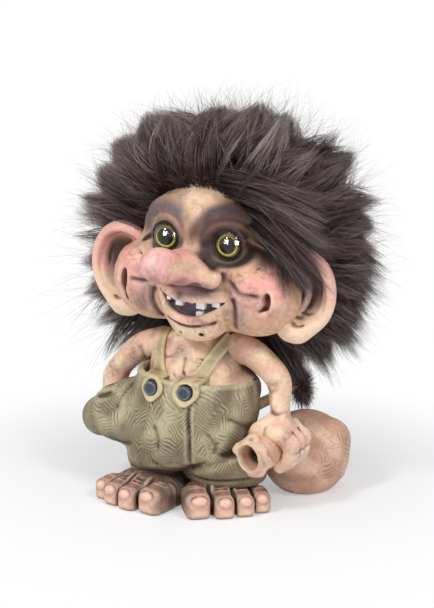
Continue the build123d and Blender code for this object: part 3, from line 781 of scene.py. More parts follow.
def make_ears():
    for side, name in ((1, "left_ear"), (-1, "right_ear")):
        skin = ear_clay().surface()
        x, y, z = skin.points.T
        skin.coat(CREAM)
        skin.brush(PINK, 0.9 * ease((z + 14) / 6))
        skin.brush(ROSE, 0.5 * ease((z + 2) / 7) * ease((x - 34) / 6))
        skin.brush(PLUM, 0.95 * skin.near([36.4, -6.6, -6.6], [9.6, 5.2, 13.0], 0.45))
        skin.brush(UMBER, 0.75 * skin.near([39.5, -5.0, -4.0], [6.5, 4.0, 9.0], 0.7))
        fold = [[31, 0, 0.4], [34.6, 0, -1.6], [37.8, 0, -6], [37.8, 0, -11], [35.4, 0, -16]]
        skin.brush(LILAC, 0.8 * skin.line(fold, 1.3))
        skin.brush(UMBER, 0.7 * ease((y + 3) / 3))
        # Painted shade in the ear's hollows and a painted highlight on its ridges
        skin.wash_with_shade_and_highlight(UMBER, (252, 214, 192), depth=0.75, ridge=0.35)
        skin.mottle(0.05, 21)
        flesh_piece(name, skin.flip(side).move(on_head))


def turned_profile(profile, count=64):
    """Points and outward faces of a profile of radius and depth turned about the Y axis."""
    profile = np.array(profile, float)
    angle = np.linspace(0, 2 * math.pi, count, endpoint=False)
    ring = np.stack([np.outer(profile[:, 0], np.cos(angle)),
                     np.repeat(profile[:, 1][:, None], count, 1),
                     np.outer(profile[:, 0], np.sin(angle))], axis=-1)
    faces = []
    for row in range(len(profile) - 1):
        for i in range(count):
            j = (i + 1) % count
            faces.append([row * count + i, row * count + j, (row + 1) * count + j, (row + 1) * count + i])
    points, faces = ring.reshape(-1, 3), np.array(faces)
    corner = points[faces]
    area = np.cross(corner[:, 1], corner[:, 2]) + np.cross(corner[:, 2], corner[:, 3])
    volume = (corner[:, 0] * area).sum()
    return points, faces if volume > 0 else faces[:, ::-1]


def clear_glass():
    made, nodes, shader = material("clear_eye_glass")
    nodes.fill(shader, {"Base Color": screen4((252, 252, 248)), "Transmission Weight": 1.0, "IOR": 1.45,
                        "Roughness": nodes.ranged(nodes.noise(400.0, 2.0), 0.0, 0.02)})
    return made


MATT = {"Roughness": 1.0, "Specular IOR Level": 0.0}


def iris_paint():
    """The painted ring behind the glass, with fine streaks of lighter and darker tone."""
    made, nodes, shader = material("amber_iris")
    tone = nodes.ranged(nodes.noise(1500.0, 3.0), 0.75, 1.2)
    nodes.fill(shader, {"Base Color": nodes.shaded(nodes.brushed(), tone), **MATT})
    return made


def black_paint():
    made, nodes, shader = material("pupil_black")
    tone = nodes.mixed(nodes.noise(600.0, 2.0), screen4((8, 8, 9)), screen4((20, 19, 20)))
    nodes.fill(shader, {"Base Color": tone, **MATT})
    return made


def make_eyes():
    glass, iris, black = clear_glass(), iris_paint(), black_paint()
    front = -IRIS_SET_FORWARD
    floor = front - IRIS_THICKNESS
    disc = math.sqrt(EYE_RADIUS ** 2 - IRIS_SET_FORWARD ** 2) - 0.1
    pupil = 2.35
    # The glass reaches past the front of the coloured ring, as paint has no air before it
    back, rim, bulge = front - 0.1, 4.92, 6.4
    centre = bulge - 4.97
    dome = [[0.0, back], [rim - 0.15, back], [rim, back - 0.1],
            [rim, centre - math.sqrt(bulge ** 2 - rim ** 2)]]
    dome += [[bulge * math.sin(a), centre - bulge * math.cos(a)]
             for a in np.linspace(math.asin(rim / bulge) - 0.02, 0, 20)]
    ring = [[pupil, front]] + [[radius, floor] for radius in np.linspace(pupil, disc - 0.15, 26)]
    ring += [[disc - 0.1, front - 0.2], [disc - 0.1, front], [pupil, front]]
    centre_disc = [[0.0, front], [pupil - 0.02, front], [pupil - 0.02, floor], [0.0, floor]]
    domes = []
    for side, name in ((1, "left"), (-1, "right")):
        eye = EYE_AT * [side, 1, 1]
        points, faces = turned_profile(dome)
        domes.append(mesh_piece(name + "_eye_dome", on_head(points + eye), faces, glass, "clear_glass",
                                name + "_glass_eye"))
        points, faces = turned_profile(ring)
        skin = Skin(on_head(points + eye), faces, None, None)
        # Olive near the pupil, then two amber-green rings with a dark one between them; the lower part is
        # painted brighter, as painted light where light through the glass falls
        radius = np.sqrt(points[:, 0] ** 2 + points[:, 2] ** 2)
        low = ease((0.8 - points[:, 2]) / 3.0)
        skin.coat((44, 38, 20))
        skin.brush((96, 88, 50), 0.9 * low * ease((radius - 2.6) / 0.4))
        skin.brush((206, 180, 84), (0.45 + 0.45 * low) * np.exp(-((radius - 3.15) / 0.15) ** 2))
        skin.brush((24, 20, 13), ease((radius - 3.32) / 0.12))
        skin.brush((132, 126, 58), 0.65 * np.exp(-((radius - 3.74) / 0.10) ** 2))
        painted_piece(name + "_eye_iris", skin, iris, "amber_glass", name + "_iris")
        points, faces = turned_profile(centre_disc)
        mesh_piece(name + "_eye_pupil", on_head(points + eye), faces, black, "black_glass", name + "_pupil",
                   smooth=False)
    catchlights(domes)


# The blocks of space that hold the teeth
TEETH = {"upper_teeth": ([-12, -29, -16], [13, -17, -8]), "lower_tooth": ([2, -29, -20], [7.5, -17, -13])}
# Middle, width and height of each
UPPER_TEETH = ((-8.4, 1.6, 2.1), (-3.4, 2.9, 2.3), (4.8, 3.3, 2.5), (9.7, 2.8, 1.9))


def block(centre, half, rounding):
    """A box with rounded edges, from its middle and half its size."""
    centre, half = np.array(centre, float), np.array(half, float)

    def distance(x, y, z):
        gaps = [abs(value - c) - h + rounding for value, c, h in zip((x, y, z), centre, half)]
        outside = np.sqrt(sum(np.maximum(gap, 0) ** 2 for gap in gaps))
        return outside + np.minimum(np.maximum(np.maximum(gaps[0], gaps[1]), gaps[2]), 0) - rounding

    return distance, centre - half, centre + half


def make_teeth():
    for node, (low, high) in TEETH.items():
        clay = Clay(low, high, 0.16)
        if node == "upper_teeth":
            for x, width, height in UPPER_TEETH:
                roof, _ = mouth_heights(x)
                place = [x, lip_front(x) + 3.0, roof - height / 2 + 0.7]
                clay.add(block(place, [width / 2, 1.4, height / 2 + 0.7], 0.4), 0.2)
        else:
            _, floor = mouth_heights(4.6)
            clay.add(block([4.4, lip_front(4.4) + 3.0, floor + 0.2], [1.2, 1.4, 1.1], 0.4), 0.2)
        skin = clay.surface()
        skin.coat((252, 252, 255))
        # Painted shade at the tops of the upper teeth, under the lip
        skin.brush((170, 152, 150), 0.8 * ease((skin.points[:, 2] + 12.4) / 1.0) * (node == "upper_teeth"))
        skin.mottle(0.05, 31)
        painted_piece("sculpted_" + node, skin.move(on_head), TOOTH_PAINT, "painted_teeth", node)


TORSO = ([(-4.5, -3.5, 40), (-4.5, -3, 48), (-4.2, -1.6, 55), (-3.6, 0, 60), (-2, 1.5, 64), (-0.6, 2.6, 70)],
         [(17.5, 13.5), (17.5, 12.5), (17, 11), (13.6, 9.6), (9.6, 8.8), (8.6, 8.6)], [0] * 6)
WAIST = ([(-6.5, -7, 11), (-5, -6.4, 16), (-4.4, -6.2, 25), (-3.6, -5.8, 35), (-3, -5, 42), (-2.6, -4.6, 47)],
         [(14, 10), (22.5, 18.5), (25.2, 21.2), (25.6, 20.6), (24, 19), (22.6, 17.6)],
         [-14, -12, -8, -3, 1, 2.5])


def paint_limb(skin, seed):
    skin.coat(TAN)
    skin.brush(CREAM, ease(0.5 + 0.6 * ripple(skin.points, 12, seed)))
    skin.brush(PINK, 0.5 * ease(ripple(skin.points, 9, seed + 3)))
    # Painted shade in lilac on the undersides
    skin.brush(LILAC, 0.7 * skin.facing([0.5, 0.2, -0.8], 0.2, 0.9))
    skin.stains((146, 108, 92), 0.7, seed + 8)
    # Painted shade in the hollows and a painted highlight on the ridges
    skin.wash_with_shade_and_highlight(PLUM, (252, 226, 198), depth=0.95, ridge=0.55)
    skin.mottle(0.07, seed + 5)


def make_torso():
    clay = Clay([-28, -22, 36], [20, 20, 78], 0.4)
    clay.add(stack(*TORSO))
    clay.add(egg([5.0, -2.5, 41.5], [17.0, 12.5, 10.5]), 3)
    clay.press([[-3.4, -10, 58], [-3.8, -12, 50], [-4.0, -14, 42]], 1.4, 0.7, reach=14)
    for side, x in ((-1, -11.5), (1, 4.5)):
        clay.press([[x - 4, -10, 55.5], [x, -11, 53.6], [x + 4, -10, 55.5]], 1.0, 0.4, reach=14)
        clay.press([[-2 + side * 3, -9, 61.5], [-3 + side * 8, -8, 60.0]], 1.0, -0.7, reach=10)
    ribs = [[[-12 + 4 * i, -12, 50 - (i % 2)], [-9 + 4 * i, -12, 46]] for i in range(5)]
    clay.creases(ribs, 0.5, 0.35, reach=14)
    skin = clay.surface()
    paint_limb(skin, 41)
    skin.stains((116, 86, 82), 0.75, 44)
    # Painted shade: on the upper chest and neck under the head, on the belly at the trousers' rim and beside
    # the right arm
    skin.dabs([(PLUM, 0.85, [9, -6, 57], [7, 9, 8], 0.8),
               ((84, 60, 54), 0.85, [15, -2, 46], [7, 12, 10], 0.8)])
    skin.brush(PLUM, 0.7 * ease((skin.points[:, 2] - 61.5) / 4))
    skin.brush(PLUM, 0.6 * skin.near([-16, -6, 50], [6, 9, 9], 0.8))
    flesh_piece("torso", skin)


RIGHT_ARM = ([(-19, 0, 56), (-28.5, -1, 52.5), (-37.6, -3, 42), (-37, -8, 32)], [5.6, 5, 4.3, 3.9])
LEFT_ARM = ([(12, 0, 57), (19.5, -1, 55), (28.4, -1, 47), (30.6, -4, 37.5), (31.6, -5.5, 31.5)],
            [5.8, 5.2, 4.7, 3.7, 4.0])
FINGER = ([(34, 0, 29.6), (37.6, 0.6, 25.6), (37.2, 1, 20.2), (33.6, 1.2, 17.2)], [3.2, 3.1, 2.9, 2.6])
THUMB = ([(29, -8, 32.5), (25.2, -10.5, 29.4), (23.2, -11.5, 25.2)], [3.4, 3.1, 2.7])
FINGER_FIRST_Y = -11.6
FINGER_STEP_Y = 5.4


def make_right_arm():
    clay = Clay([-46, -16, 24], [-10, 10, 66], 0.4)
    clay.add(limb(*RIGHT_ARM, smooth=24), 1)
    clay.add(egg([-38.0, -2.4, 41], [4.6, 4.6, 5.0]), 2)
    clay.press([[-40, -6, 38], [-36, -8, 37], [-33, -7, 38.5]], 0.8, 0.5, reach=10)
    clay.press([[-27, -6, 57], [-25, -6, 52], [-26, -6, 48]], 1.0, 0.5, reach=10)
    clay.press([[-33, -6, 50], [-34.5, -6, 46]], 1.2, -0.5, reach=10)
    skin = clay.surface()
    paint_limb(skin, 47)
    flesh_piece("right_arm", skin)


def finger_rows(i):
    return [[x, y + FINGER_FIRST_Y + FINGER_STEP_Y * i, z] for x, y, z in FINGER[0]]


def make_left_arm():
    clay = Clay([4, -22, 11], [46, 12, 66], 0.38)
    clay.add(limb(*LEFT_ARM, smooth=30), 1)
    clay.add(egg([31.8, -6, 29.6], [5.8, 8.6, 4.6]), 2)
    fingers = [np.array(finger_rows(i)) for i in range(3)]
    for rows in fingers:
        clay.add(limb(rows, FINGER[1], smooth=16), 0.9)
        clay.add(egg(rows[1] + [0.4, 0, 0.8], [3.1, 3.1, 3.2]), 1.2)
        y = rows[1][1]
        clay.press([[36, y - 2.5, 23.2], [40.5, y, 23.4], [37, y + 2.5, 23.2]], 0.5, 0.4, across=0, reach=10)
    clay.add(limb(*THUMB, smooth=12), 1.0)
    clay.add(egg([25.2, -11.2, 29.6], [3.2, 3.0, 3.2]), 1.2)
    clay.press([[27, -8, 37.5], [31, -8.6, 36.0], [34.4, -7, 37.0]], 0.7, 0.5, reach=9)
    clay.press([[29, -6, 44], [29.6, -7, 38]], 1.0, -0.5, reach=9)
    clay.press([[33.5, -9, 33.5], [35.8, -11.5, 30.5]], 0.6, -0.5, reach=8)
    clay.press([[34.5, -3, 33.5], [37, -5, 30]], 0.6, -0.4, reach=8)
    skin = clay.surface()
    paint_limb(skin, 53)
    for rows in fingers:
        skin.dabs([(PINK, 0.8, rows[1] + [1, -1, 1], [4, 3.5, 4], 0.8),
                   ((250, 212, 196), 0.7, rows[2] + [2, 0, -1], [2.4, 2.2, 3.2], 0.8)])
    skin.brush(PINK, 0.7 * skin.near([24, -13, 27.5], [3.5, 3.5, 4], 0.8))
    flesh_piece("left_arm", skin)


OLIVE = (146, 136, 108)
OLIVE_PALE = (188, 178, 146)


def cuff(place, radii):
    rows = [(*place, 8.8), (*place, 14.9), (*place, 21.0)]
    return stack(rows, [(radii[0] - 1.6, radii[1] - 1.6), radii, (radii[0] - 1.6, radii[1] - 1.6)], [0] * 3)


def rim_recess():
    (x, y, z), (across, deep), tip = [column[-1] for column in WAIST]
    return stack([(x, y, z - 3.0), (x, y, z + 12)], [(across - 1.9, deep - 1.9)] * 2, [tip] * 2)


def trouser_clay():
    clay = Clay([-54, -32, 4], [34, 22, 56], 0.36)
    clay.add(stack(*WAIST))
    clay.add(egg([-26, -7.5, 29], [14, 11.8, 13.6]), 3)
    clay.add(limb([(-25, -8, 29), (-34, -9, 28.4), (-40.4, -9.4, 26.4)], [12.6, 10.6, 7.8]), 2.5)
    clay.add(cuff((10.5, -8.5), (17, 13.5)), 1.6)
    clay.add(cuff((-16.5, -9), (12, 12.5)), 1.6)
    turn = np.radians(np.linspace(-180, 180, 37))
    (x, y, z), (across, deep), tip = [column[-1] for column in WAIST]
    rim = np.column_stack([x + (across - 0.6) * np.cos(turn), y + (deep - 0.6) * np.sin(turn),
                           z - 0.6 - (across - 0.6) * np.cos(turn) * math.sin(math.radians(tip))])
    clay.add(limb(rim, [1.1] * len(rim)), 0.8)
    clay.cut(rim_recess(), 0.6)
    # Seams and folds
    clay.press([[3.2, -24, 42], [3.4, -24, 36], [4.2, -26, 28], [3.6, -25, 20], [2.0, -22, 13]], 0.8, 0.9,
               reach=14)
    clay.press([[5.0, -24, 42], [5.2, -24, 36], [6.0, -26, 28]], 0.8, -0.4, reach=14)
    clay.creases([
        [[-24, -20, 44], [-28, -18, 38], [-30, -18, 30]], [[-20, -22, 22], [-28, -20, 19], [-34, -18, 20]],
        [[-14, -22, 18], [-6, -24, 14.5], [2, -22, 13.5]], [[6, -22, 15], [13, -22, 19], [22, -18, 23]],
        [[-2, -24, 18], [3, -24, 15.5], [9, -22, 17]], [[14, -20, 37], [19, -17, 32], [21, -15, 26]],
        [[-12, -24, 34], [-8, -25, 27], [-9, -24, 20]], [[8, -24, 33], [12, -22, 26], [11, -22, 21]]],
        1.5, 0.9, reach=14)
    clay.creases([[[0, -20, 12.6], [8, -22, 11.4], [20, -20, 12.4], [27, -14, 13.2]],
                  [[-26, -19, 12.0], [-18, -22, 11.2], [-8, -20, 12.2]]], 0.7, 0.8, reach=14)
    clay.press([[-31.5, -14, 40.5], [-35.0, -16, 38.5], [-40.5, -14, 37.0]], 0.9, -1.2, reach=10)
    clay.press([[-32.5, -14, 38.2], [-36.0, -16, 36.4], [-41.0, -14, 35.0]], 0.8, 0.9, reach=10)
    return clay


def make_trousers():
    skin = trouser_clay().surface()
    points = skin.points
    skin.coat(OLIVE)
    skin.brush(OLIVE_PALE, ease(0.4 + 0.7 * ripple(points, 14, 61)))
    skin.brush((112, 92, 72), 0.8 * ease(0.15 + 0.7 * ripple(points, 11, 63)))
    skin.stains((92, 76, 60), 0.5, 66)
    # Painted shade on the trousers beside and under the arms
    skin.dabs([((122, 98, 84), 0.75, [23, -10, 38], [8, 14, 14], 0.9),
               ((112, 90, 78), 0.8, [-24, -14, 41], [7, 10, 7], 0.9)])
    # Painted shade in the carved grooves and hollows, and a painted highlight on the crests and ridges
    skin.carve_and_shade(330, 1.25, 0.3, 65, (84, 74, 58), (204, 198, 160), 0.7)
    skin.wash_with_shade_and_highlight((66, 54, 46), (206, 200, 168), depth=0.8, ridge=0.4)
    # A painted highlight along the waistband's rounded top edge
    top = skin.line([[-26, 0, 46.5], [-5, 0, 48.6], [18, 0, 50.2]], 0.9)
    skin.brush((200, 178, 150), 0.8 * top * ease((-skin.hollow[0]) / 0.1))
    skin.brush((104, 84, 68), 0.6 * ease((17 - points[:, 2]) / 5))
    skin.mottle(0.08, 67)
    painted_piece("sculpted_trousers", skin, CLOTH_PAINT, "painted_overalls", "trousers")


# Where each strap's button is across the chest, and the strap's lean in degrees
STRAPS = (("left", 1.6, 27.0), ("right", -12.6, -13.0))
BUTTON_Z = 44.6


def strap_clay(button_x, lean):
    clay = Clay([button_x - 18, -30, 37], [button_x + 26, -2, 66], 0.3)
    torso, waist = stack(*TORSO)[0], stack(*WAIST)[0]
    slope = math.radians(lean)
    _, (x, y, z) = clay.window(clay.low, clay.low + clay.step * np.array(clay.field.shape))
    body = np.minimum(torso(x, y, z), waist(x, y, z))
    cloth = abs(body - 0.75) - 0.85
    dx, dz = x - button_x, z - BUTTON_Z
    along = dx * math.sin(slope) + dz * math.cos(slope)
    across = dx * math.cos(slope) - dz * math.sin(slope)
    width = 2.3 + 0.5 * np.exp(-(along / 8) ** 2)
    band = np.maximum(abs(across) - width, -along)
    # The loop round the button, a little square
    turn = np.sqrt(dx ** 2 + dz ** 2)
    corner = np.cos(4 * np.arctan2(dz, dx)) * 0.25
    region = smooth_min(band, turn - 4.8 - corner, 2.0)
    region = smooth_max(region, 2.85 - turn, 0.3)
    clay.field[:] = np.minimum(smooth_max(cloth, region, 0.7), clay.FAR)
    clay.field[:, -1, :] = clay.FAR
    clay.field[:, :, -1] = clay.FAR
    return clay


def make_straps():
    for side, x, lean in STRAPS:
        skin = strap_clay(x, lean).surface()
        skin.coat((156, 136, 106))
        skin.brush((190, 172, 136), ease(0.4 + 0.8 * ripple(skin.points, 7, 71)))
        skin.brush((118, 92, 78), 0.7 * ease((skin.points[:, 2] - 55) / 6))
        # Painted shade in the hollows and a painted highlight on the ridges
        skin.wash_with_shade_and_highlight((70, 56, 46), (222, 206, 164), depth=0.8, ridge=0.75)
        skin.mottle(0.08, 73)
        painted_piece("sculpted_" + side + "_strap", skin, CLOTH_PAINT, "painted_overalls", side + "_strap")
        low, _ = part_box(side + "_button")
        front = (low.y / MM) - FIGURE_AT[1]
        back = front + 3.0
        profile = [[0.0, back], [2.55, back], [2.6, front + 0.5], [2.45, front + 0.1], [2.15, front - 0.05],
                   [1.8, front + 0.12], [1.2, front + 0.22], [0.0, front + 0.2]]
        points, faces = turned_profile(profile, 40)
        button = Skin(points + [x, 0, BUTTON_Z], faces, None, None)
        button.coat((52, 58, 70))
        button.brush((104, 116, 130), np.exp(-((np.hypot(points[:, 0], points[:, 2]) - 2.2) / 0.3) ** 2))
        painted_piece("domed_" + side + "_button", button, BUTTON_PAINT, "painted_button", side + "_button")


def above_floor(x, y, z):
    """The flat underside of a piece, just off the floor."""
    return 0 * x + 0 * y + 0.02 - z


TOES = ([(-11.2, 0, 4.4), (-2, -2, 4), (5.6, -1.8, 3.9), (12.2, 0.4, 3.7)],
        [(5.3, 8.2, 5.6), (4.4, 7.6, 4.9), (4.2, 7.2, 4.7), (3.9, 6.8, 4.5)])


def foot_clay():
    clay = Clay([-20, -14, -2], [20, 34, 21], 0.36)
    clay.add(egg([0, 9, 2.5], [15.4, 14, 8.8]))
    clay.add(egg([-1, 22, 3], [8.4, 9.5, 8]), 3)
    clay.add(limb([(-1, 18, 2), (-1, 17.5, 17)], [6.8, 6.8]), 3)
    for (x, y, z), (across, along, high) in zip(*TOES):
        clay.add(block([x, y + 0.6, z - 0.2], [across * 0.93, along * 0.86, high * 0.93], across * 0.62), 0.9)
        clay.add(egg([x, y + 1.5, z + 0.8], [across * 0.92, along * 0.55, high * 0.95]), 0.8)
        nail = [x, y - along * 0.62, z + high * 0.40]
        clay.cut(egg(nail + np.array([0, -1.2, 0.9]), [across * 0.70, 2.2, 2.2]), 0.5)
        clay.add(egg(nail, [across * 0.60, 1.9, 1.9]), 0.25)
        for k in range(2):
            knuckle = [[x + share * across, y + ahead + 1.9 * k, 8]
                       for share, ahead in ((-0.6, 2.2), (0, 1.4), (0.6, 2.2))]
            clay.press(knuckle, 0.55, 0.55, across=2, reach=9)
    for left, right in zip(TOES[0][:-1], TOES[0][1:]):
        x, y, _ = (np.array(left) + right) / 2
        clay.press([[x, y - 6, 5], [x, y + 1, 5], [x * 0.9, y + 7, 5]], 0.7, 1.1, across=2, reach=12)
    clay.keep(above_floor, 0.3)
    return clay


# Each foot's side, place and turn in degrees
FEET = ((1, "left_foot", (16.6, -20.0), 37.0), (-1, "right_foot", (-18.4, -26.6), -14.0))


def make_feet():
    for side, name, (at_x, at_y), splay in FEET:
        skin = foot_clay().surface()
        _, y, z = skin.points.T
        skin.coat((104, 82, 72))
        skin.brush((140, 112, 96), 0.6 * ease(ripple(skin.points, 6, 81)))
        # Painted shade in the carved grooves and a painted highlight on the crests
        skin.carve_and_shade(46, 1.5, 0.2, 83, (60, 44, 40), (168, 140, 118), 0.55, ease((y - 2) / 3))
        for place, radii in zip(np.array(TOES[0]), np.array(TOES[1])):
            across, along, high = radii
            skin.dabs([((214, 166, 146), 0.95, place + [0, -2, -0.5], radii * [1.1, 1.0, 1.15], 0.35),
                       (ROSE, 0.45, place + [0, 0, 3], radii * 0.8, 0.9),
                       ((238, 186, 172), 1, place + [0, -along * 0.66, high * 0.46],
                        [across * 0.62, 3.0, 1.9], 0.3),
                       (CREAM, 0.7, place + [0, -along * 0.85, -1.6], [across * 0.8, 2.5, 2.2], 0.8)])
        # Painted shade in the hollows and a painted highlight on the ridges
        skin.wash_with_shade_and_highlight((54, 36, 32), (250, 216, 190), depth=0.9, ridge=0.4)
        skin.brush((80, 60, 54), 0.7 * ease((1.6 - z) / 1.6))
        skin.mottle(0.07, 85)
        turn = math.radians(splay)
        x, y, z = skin.flip(side).points.T
        skin.points = np.column_stack([at_x + x * math.cos(turn) - y * math.sin(turn),
                                       at_y + x * math.sin(turn) + y * math.cos(turn), z])
        flesh_piece(name, skin)


SACK_NECK = ([(26.2, -18.4, 22.4), (28, -13.2, 22.6), (31, -4.5, 22.6), (33, 3, 21.6), (33.4, 10, 19.5)],
             [7.0, 6.0, 5.4, 6.6, 10.0])


def sack_clay():
    clay = Clay([10, -30, -2], [54, 40, 36], 0.4)
    clay.add(egg([32, 18.2, 13.4], [16.6, 17.4, 16.4]))
    clay.add(egg([41.5, 18.5, 19.5], [7.8, 9.5, 8.2]), 2)
    places, radii = SACK_NECK
    clay.add(limb(places[1:], radii[1:], smooth=20), 3.0)
    mouth, inner = np.array(places[0]), np.array(places[1])
    line = (mouth - inner) / np.linalg.norm(mouth - inner)
    clay.add(limb([inner, mouth - line * 1.0], [6.0, 6.6]), 1.2)
    # The torn rim
    side = np.cross(line, [0, 0, 1])
    side /= np.linalg.norm(side)
    rise = np.cross(side, line)
    turn = np.linspace(0, 2 * math.pi, 33)
    radius = 6.2 + (0.5 * np.sin(5 * turn) + 0.3 * np.sin(8 * turn + 1))
    ring = mouth + np.outer(radius * np.cos(turn), side) + np.outer(radius * np.sin(turn), rise)
    ring = ring + np.outer(0.8 * np.sin(3 * turn + 0.6) + 0.4 * np.sin(7 * turn), line)
    clay.add(limb(ring, 1.5 + 0.35 * np.sin(6 * turn)), 0.9)
    clay.cut(limb([mouth + line * 9, mouth + line * 0.5, inner - line * 3.4], [6.0, 4.6, 3.2]), 0.5)
    # The folds that run back from the neck
    for i in range(9):
        angle = math.radians(-60 + 30 * i)
        fold = [[x + across * math.sin(angle), y, z + high * math.cos(angle)] for x, y, z, across, high in
                ((33.2, 4.0, 21.0, 5.0, 5.0), (33.0, 10.0, 16.5, 12.0, 9.5), (32.8, 19.0, 13.5, 15.6, 13.0))]
        clay.add(limb(fold, [1.0, 1.2, 0.6], smooth=10), 2.2)
    clay.keep(above_floor, 0.3)
    return clay


def make_sack():
    skin = sack_clay().surface()
    points = skin.points
    skin.coat((208, 162, 138))
    skin.brush((228, 190, 166), ease(0.4 + 0.7 * ripple(points, 12, 91)))
    skin.brush((176, 128, 108), 0.6 * ease(0.1 + 0.7 * ripple(points, 9, 93)))
    # Painted shade in the carved grooves and hollows, and a painted highlight on the crests and ridges
    skin.carve_and_shade(190, 1.35, 0.24, 95, (110, 72, 60), (230, 198, 172), 0.6, ease((points[:, 1] - 2) / 4))
    skin.wash_with_shade_and_highlight((84, 54, 46), (236, 208, 180), depth=0.8, ridge=0.5)
    mouth = np.array(SACK_NECK[0][0])
    skin.brush((232, 208, 178), 0.85 * skin.near(mouth, [9.5, 4.5, 9.5], 0.4) * ease(-skin.hollow[0] / 0.1))
    # Painted shade: near black inside the sack's mouth
    skin.brush((44, 30, 27), skin.near(mouth + [1.0, 3.4, 0.1], [4.9, 6.4, 4.9], 0.3))
    skin.mottle(0.07, 97)
    painted_piece("sculpted_sack", skin, CLOTH_PAINT, "painted_sack", "sack")


TAIL = ([(-3, 12, 24), (3, 21, 24), (12, 25.5, 29), (24.5, 25.8, 36)], [2.8, 2.4, 2.1, 1.9])


def make_tail():
    clay = Clay([-8, 6, 18], [26, 31, 38], 0.3)
    clay.add(limb(*TAIL, smooth=20))
    skin = clay.surface()
    paint_limb(skin, 101)
    flesh_piece("tail", skin)


SKULL_AT = np.array([0.0, 2.0, 6.0])
SKULL_RADII = np.array([26.0, 26.5, 28.5])
HAIRLINE_Z = [-28.0, -10.0, 6.0, 14.0, 28.0, 36.0]
HAIRLINE_Y = [9.5, 3.0, -2.0, -11.0, -16.0, -17.0]
FUR_MIDDLE = np.array([2.0, 10.0, 92.0])
# Where the longest tufts end, all around the head
FUR_TIPS = [
    (-73, 20, 84), (-66, 15, 104), (-58, 12, 120), (-42, 8, 134), (-28, 5, 139), (-13, 4, 146), (2, 0, 143),
    (18, 4, 151), (32, 6, 144), (47, 8, 140), (56, 8, 126), (64, 8, 108), (66, 10, 96), (62, 14, 80),
    (56, 18, 68), (46, 20, 50), (28, 30, 40), (0, 40, 38), (-36, 34, 34), (-60, 25, 35), (-67, 24, 44),
    (-72, 22, 62), (0, 62, 95), (30, 54, 96), (-34, 54, 96), (0, 52, 125), (26, 46, 128), (-28, 46, 128),
    (0, 52, 64), (28, 46, 64), (-32, 46, 62), (0, -18, 134), (24, -16, 132), (-22, -16, 128), (46, -10, 108),
    (-44, -8, 104)]
# The pointed locks that make the outline seen from the front
SPIKES = [
    (19.6, 2, 149.2), (4, 2, 148), (-2, 6, 145), (-19, 4, 142.6), (-30, 8, 142.6), (-45, 10, 130.6),
    (-55, 12, 118.6), (-64, 14, 107), (-69.7, 18, 97), (-70.8, 18, 88.7), (-67.7, 20, 77.7),
    (-67.3, 22, 62.6), (-65, 24, 51), (-61, 26, 35), (-53, 28, 32), (31.6, 0, 146.5), (42, 2, 133),
    (50, 6, 140), (55, 8, 132), (64, 8, 126), (65.6, 10, 114.7), (61.8, 12, 104), (63.5, 10, 98), (63, 14, 89),
    (58.8, 16, 76), (56, 18, 67), (52, 22, 55), (41.5, 24, 45), (30.4, 28, 33)]
LOCKS = 150
LOCK_PULL = 0.82
# Locks beside the face and behind the ears, in the head's frame: a row of roots, of ends and of the places they
# rise to, how many locks, and how many hairs in each
TEMPLE_LOCKS = [
    ([(1, -16, 33.2), (7, -16.5, 31), (12, -16, 27), (16.5, -14.5, 22.5), (20.5, -12, 16), (24, -9, 10)],
     [(40, -12, 30), (48, -12, 20), (50, -13, 11), (50, -13, 2), (45, -14, -7), (38, -14, -8)],
     [(12, -22, 38), (19, -24, 34), (24, -24, 29), (27, -23, 23), (29, -20, 15), (30, -17, 7)], 70, 62),
    ([(-12, -14, 29), (-18, -12, 26), (-22, -9.5, 22), (-24.5, -6, 17), (-26, -3, 11)],
     [(-34, -10, 46), (-44, -6, 36), (-50, -2, 26), (-52, 0, 18), (-50, 2, 12)],
     [(-20, -20, 36), (-27, -17, 30), (-31, -14, 24), (-32, -11, 18), (-32, -8, 12)], 26, 55),
    ([(-24, 8, 8), (-23, 12, -2), (-20, 15, -10), (-15, 16, -16), (-8, 16, -20)],
     [(-66, 20, -6), (-66, 22, -20), (-63, 24, -34), (-58, 26, -48), (-48, 27, -54)],
     [(-44, 18, 8), (-46, 22, -6), (-42, 24, -18), (-38, 26, -28), (-28, 26, -36)], 60, 62),
    ([(24, 8, 8), (23, 12, -2), (20, 15, -10), (15, 16, -16), (8, 16, -20)],
     [(62, 14, 4), (60, 16, -12), (56, 18, -26), (50, 22, -40), (38, 24, -52)],
     [(44, 16, 12), (46, 20, -2), (42, 22, -14), (36, 24, -24), (26, 25, -32)], 50, 62)]
CLUMPS = 640
STRANDS_PER_CLUMP = 62
WISPS = 8
FRINGE_HAIRS = 2600
WHISKER_PLACES = 1100
TUFT_HAIRS = 900
# Hairs end at least this high
LOWEST_LOCK_Z = 22
LOWEST_WHISKER_Z = 14
# How far past the outline of the longest tufts a hair may reach
MOST_REACH = 1.13
STRAND_POINTS = 7
FUR_PIECES = 20


def fur_finish():
    """Dark brown at the roots, paler and greyer towards the tips, each hair in its own shade."""
    made, nodes, shader = material("brown_fur")
    place = nodes.add("UVMap", uv_map="OFBake").outputs["UV"]
    parts = nodes.add("SeparateXYZ", {0: place}).outputs
    colours = []
    for ends in (((24, 15, 13), (76, 56, 52)), ((98, 76, 70), (214, 200, 196))):
        ramp = nodes.add("ValToRGB", {"Fac": parts["Y"]})
        for element, position, colour in zip(ramp.color_ramp.elements, (0.1, 0.95), ends):
            element.position, element.color = position, screen4(colour)
        colours.append(ramp.outputs["Color"])
    grain = nodes.ranged(nodes.noise(60.0, 3.0, place), 0.8, 1.2)
    nodes.fill(shader, {"Base Color": nodes.shaded(nodes.mixed(parts["X"], *colours), grain),
                        "Roughness": 0.5, "Specular IOR Level": 0.16})
    return made


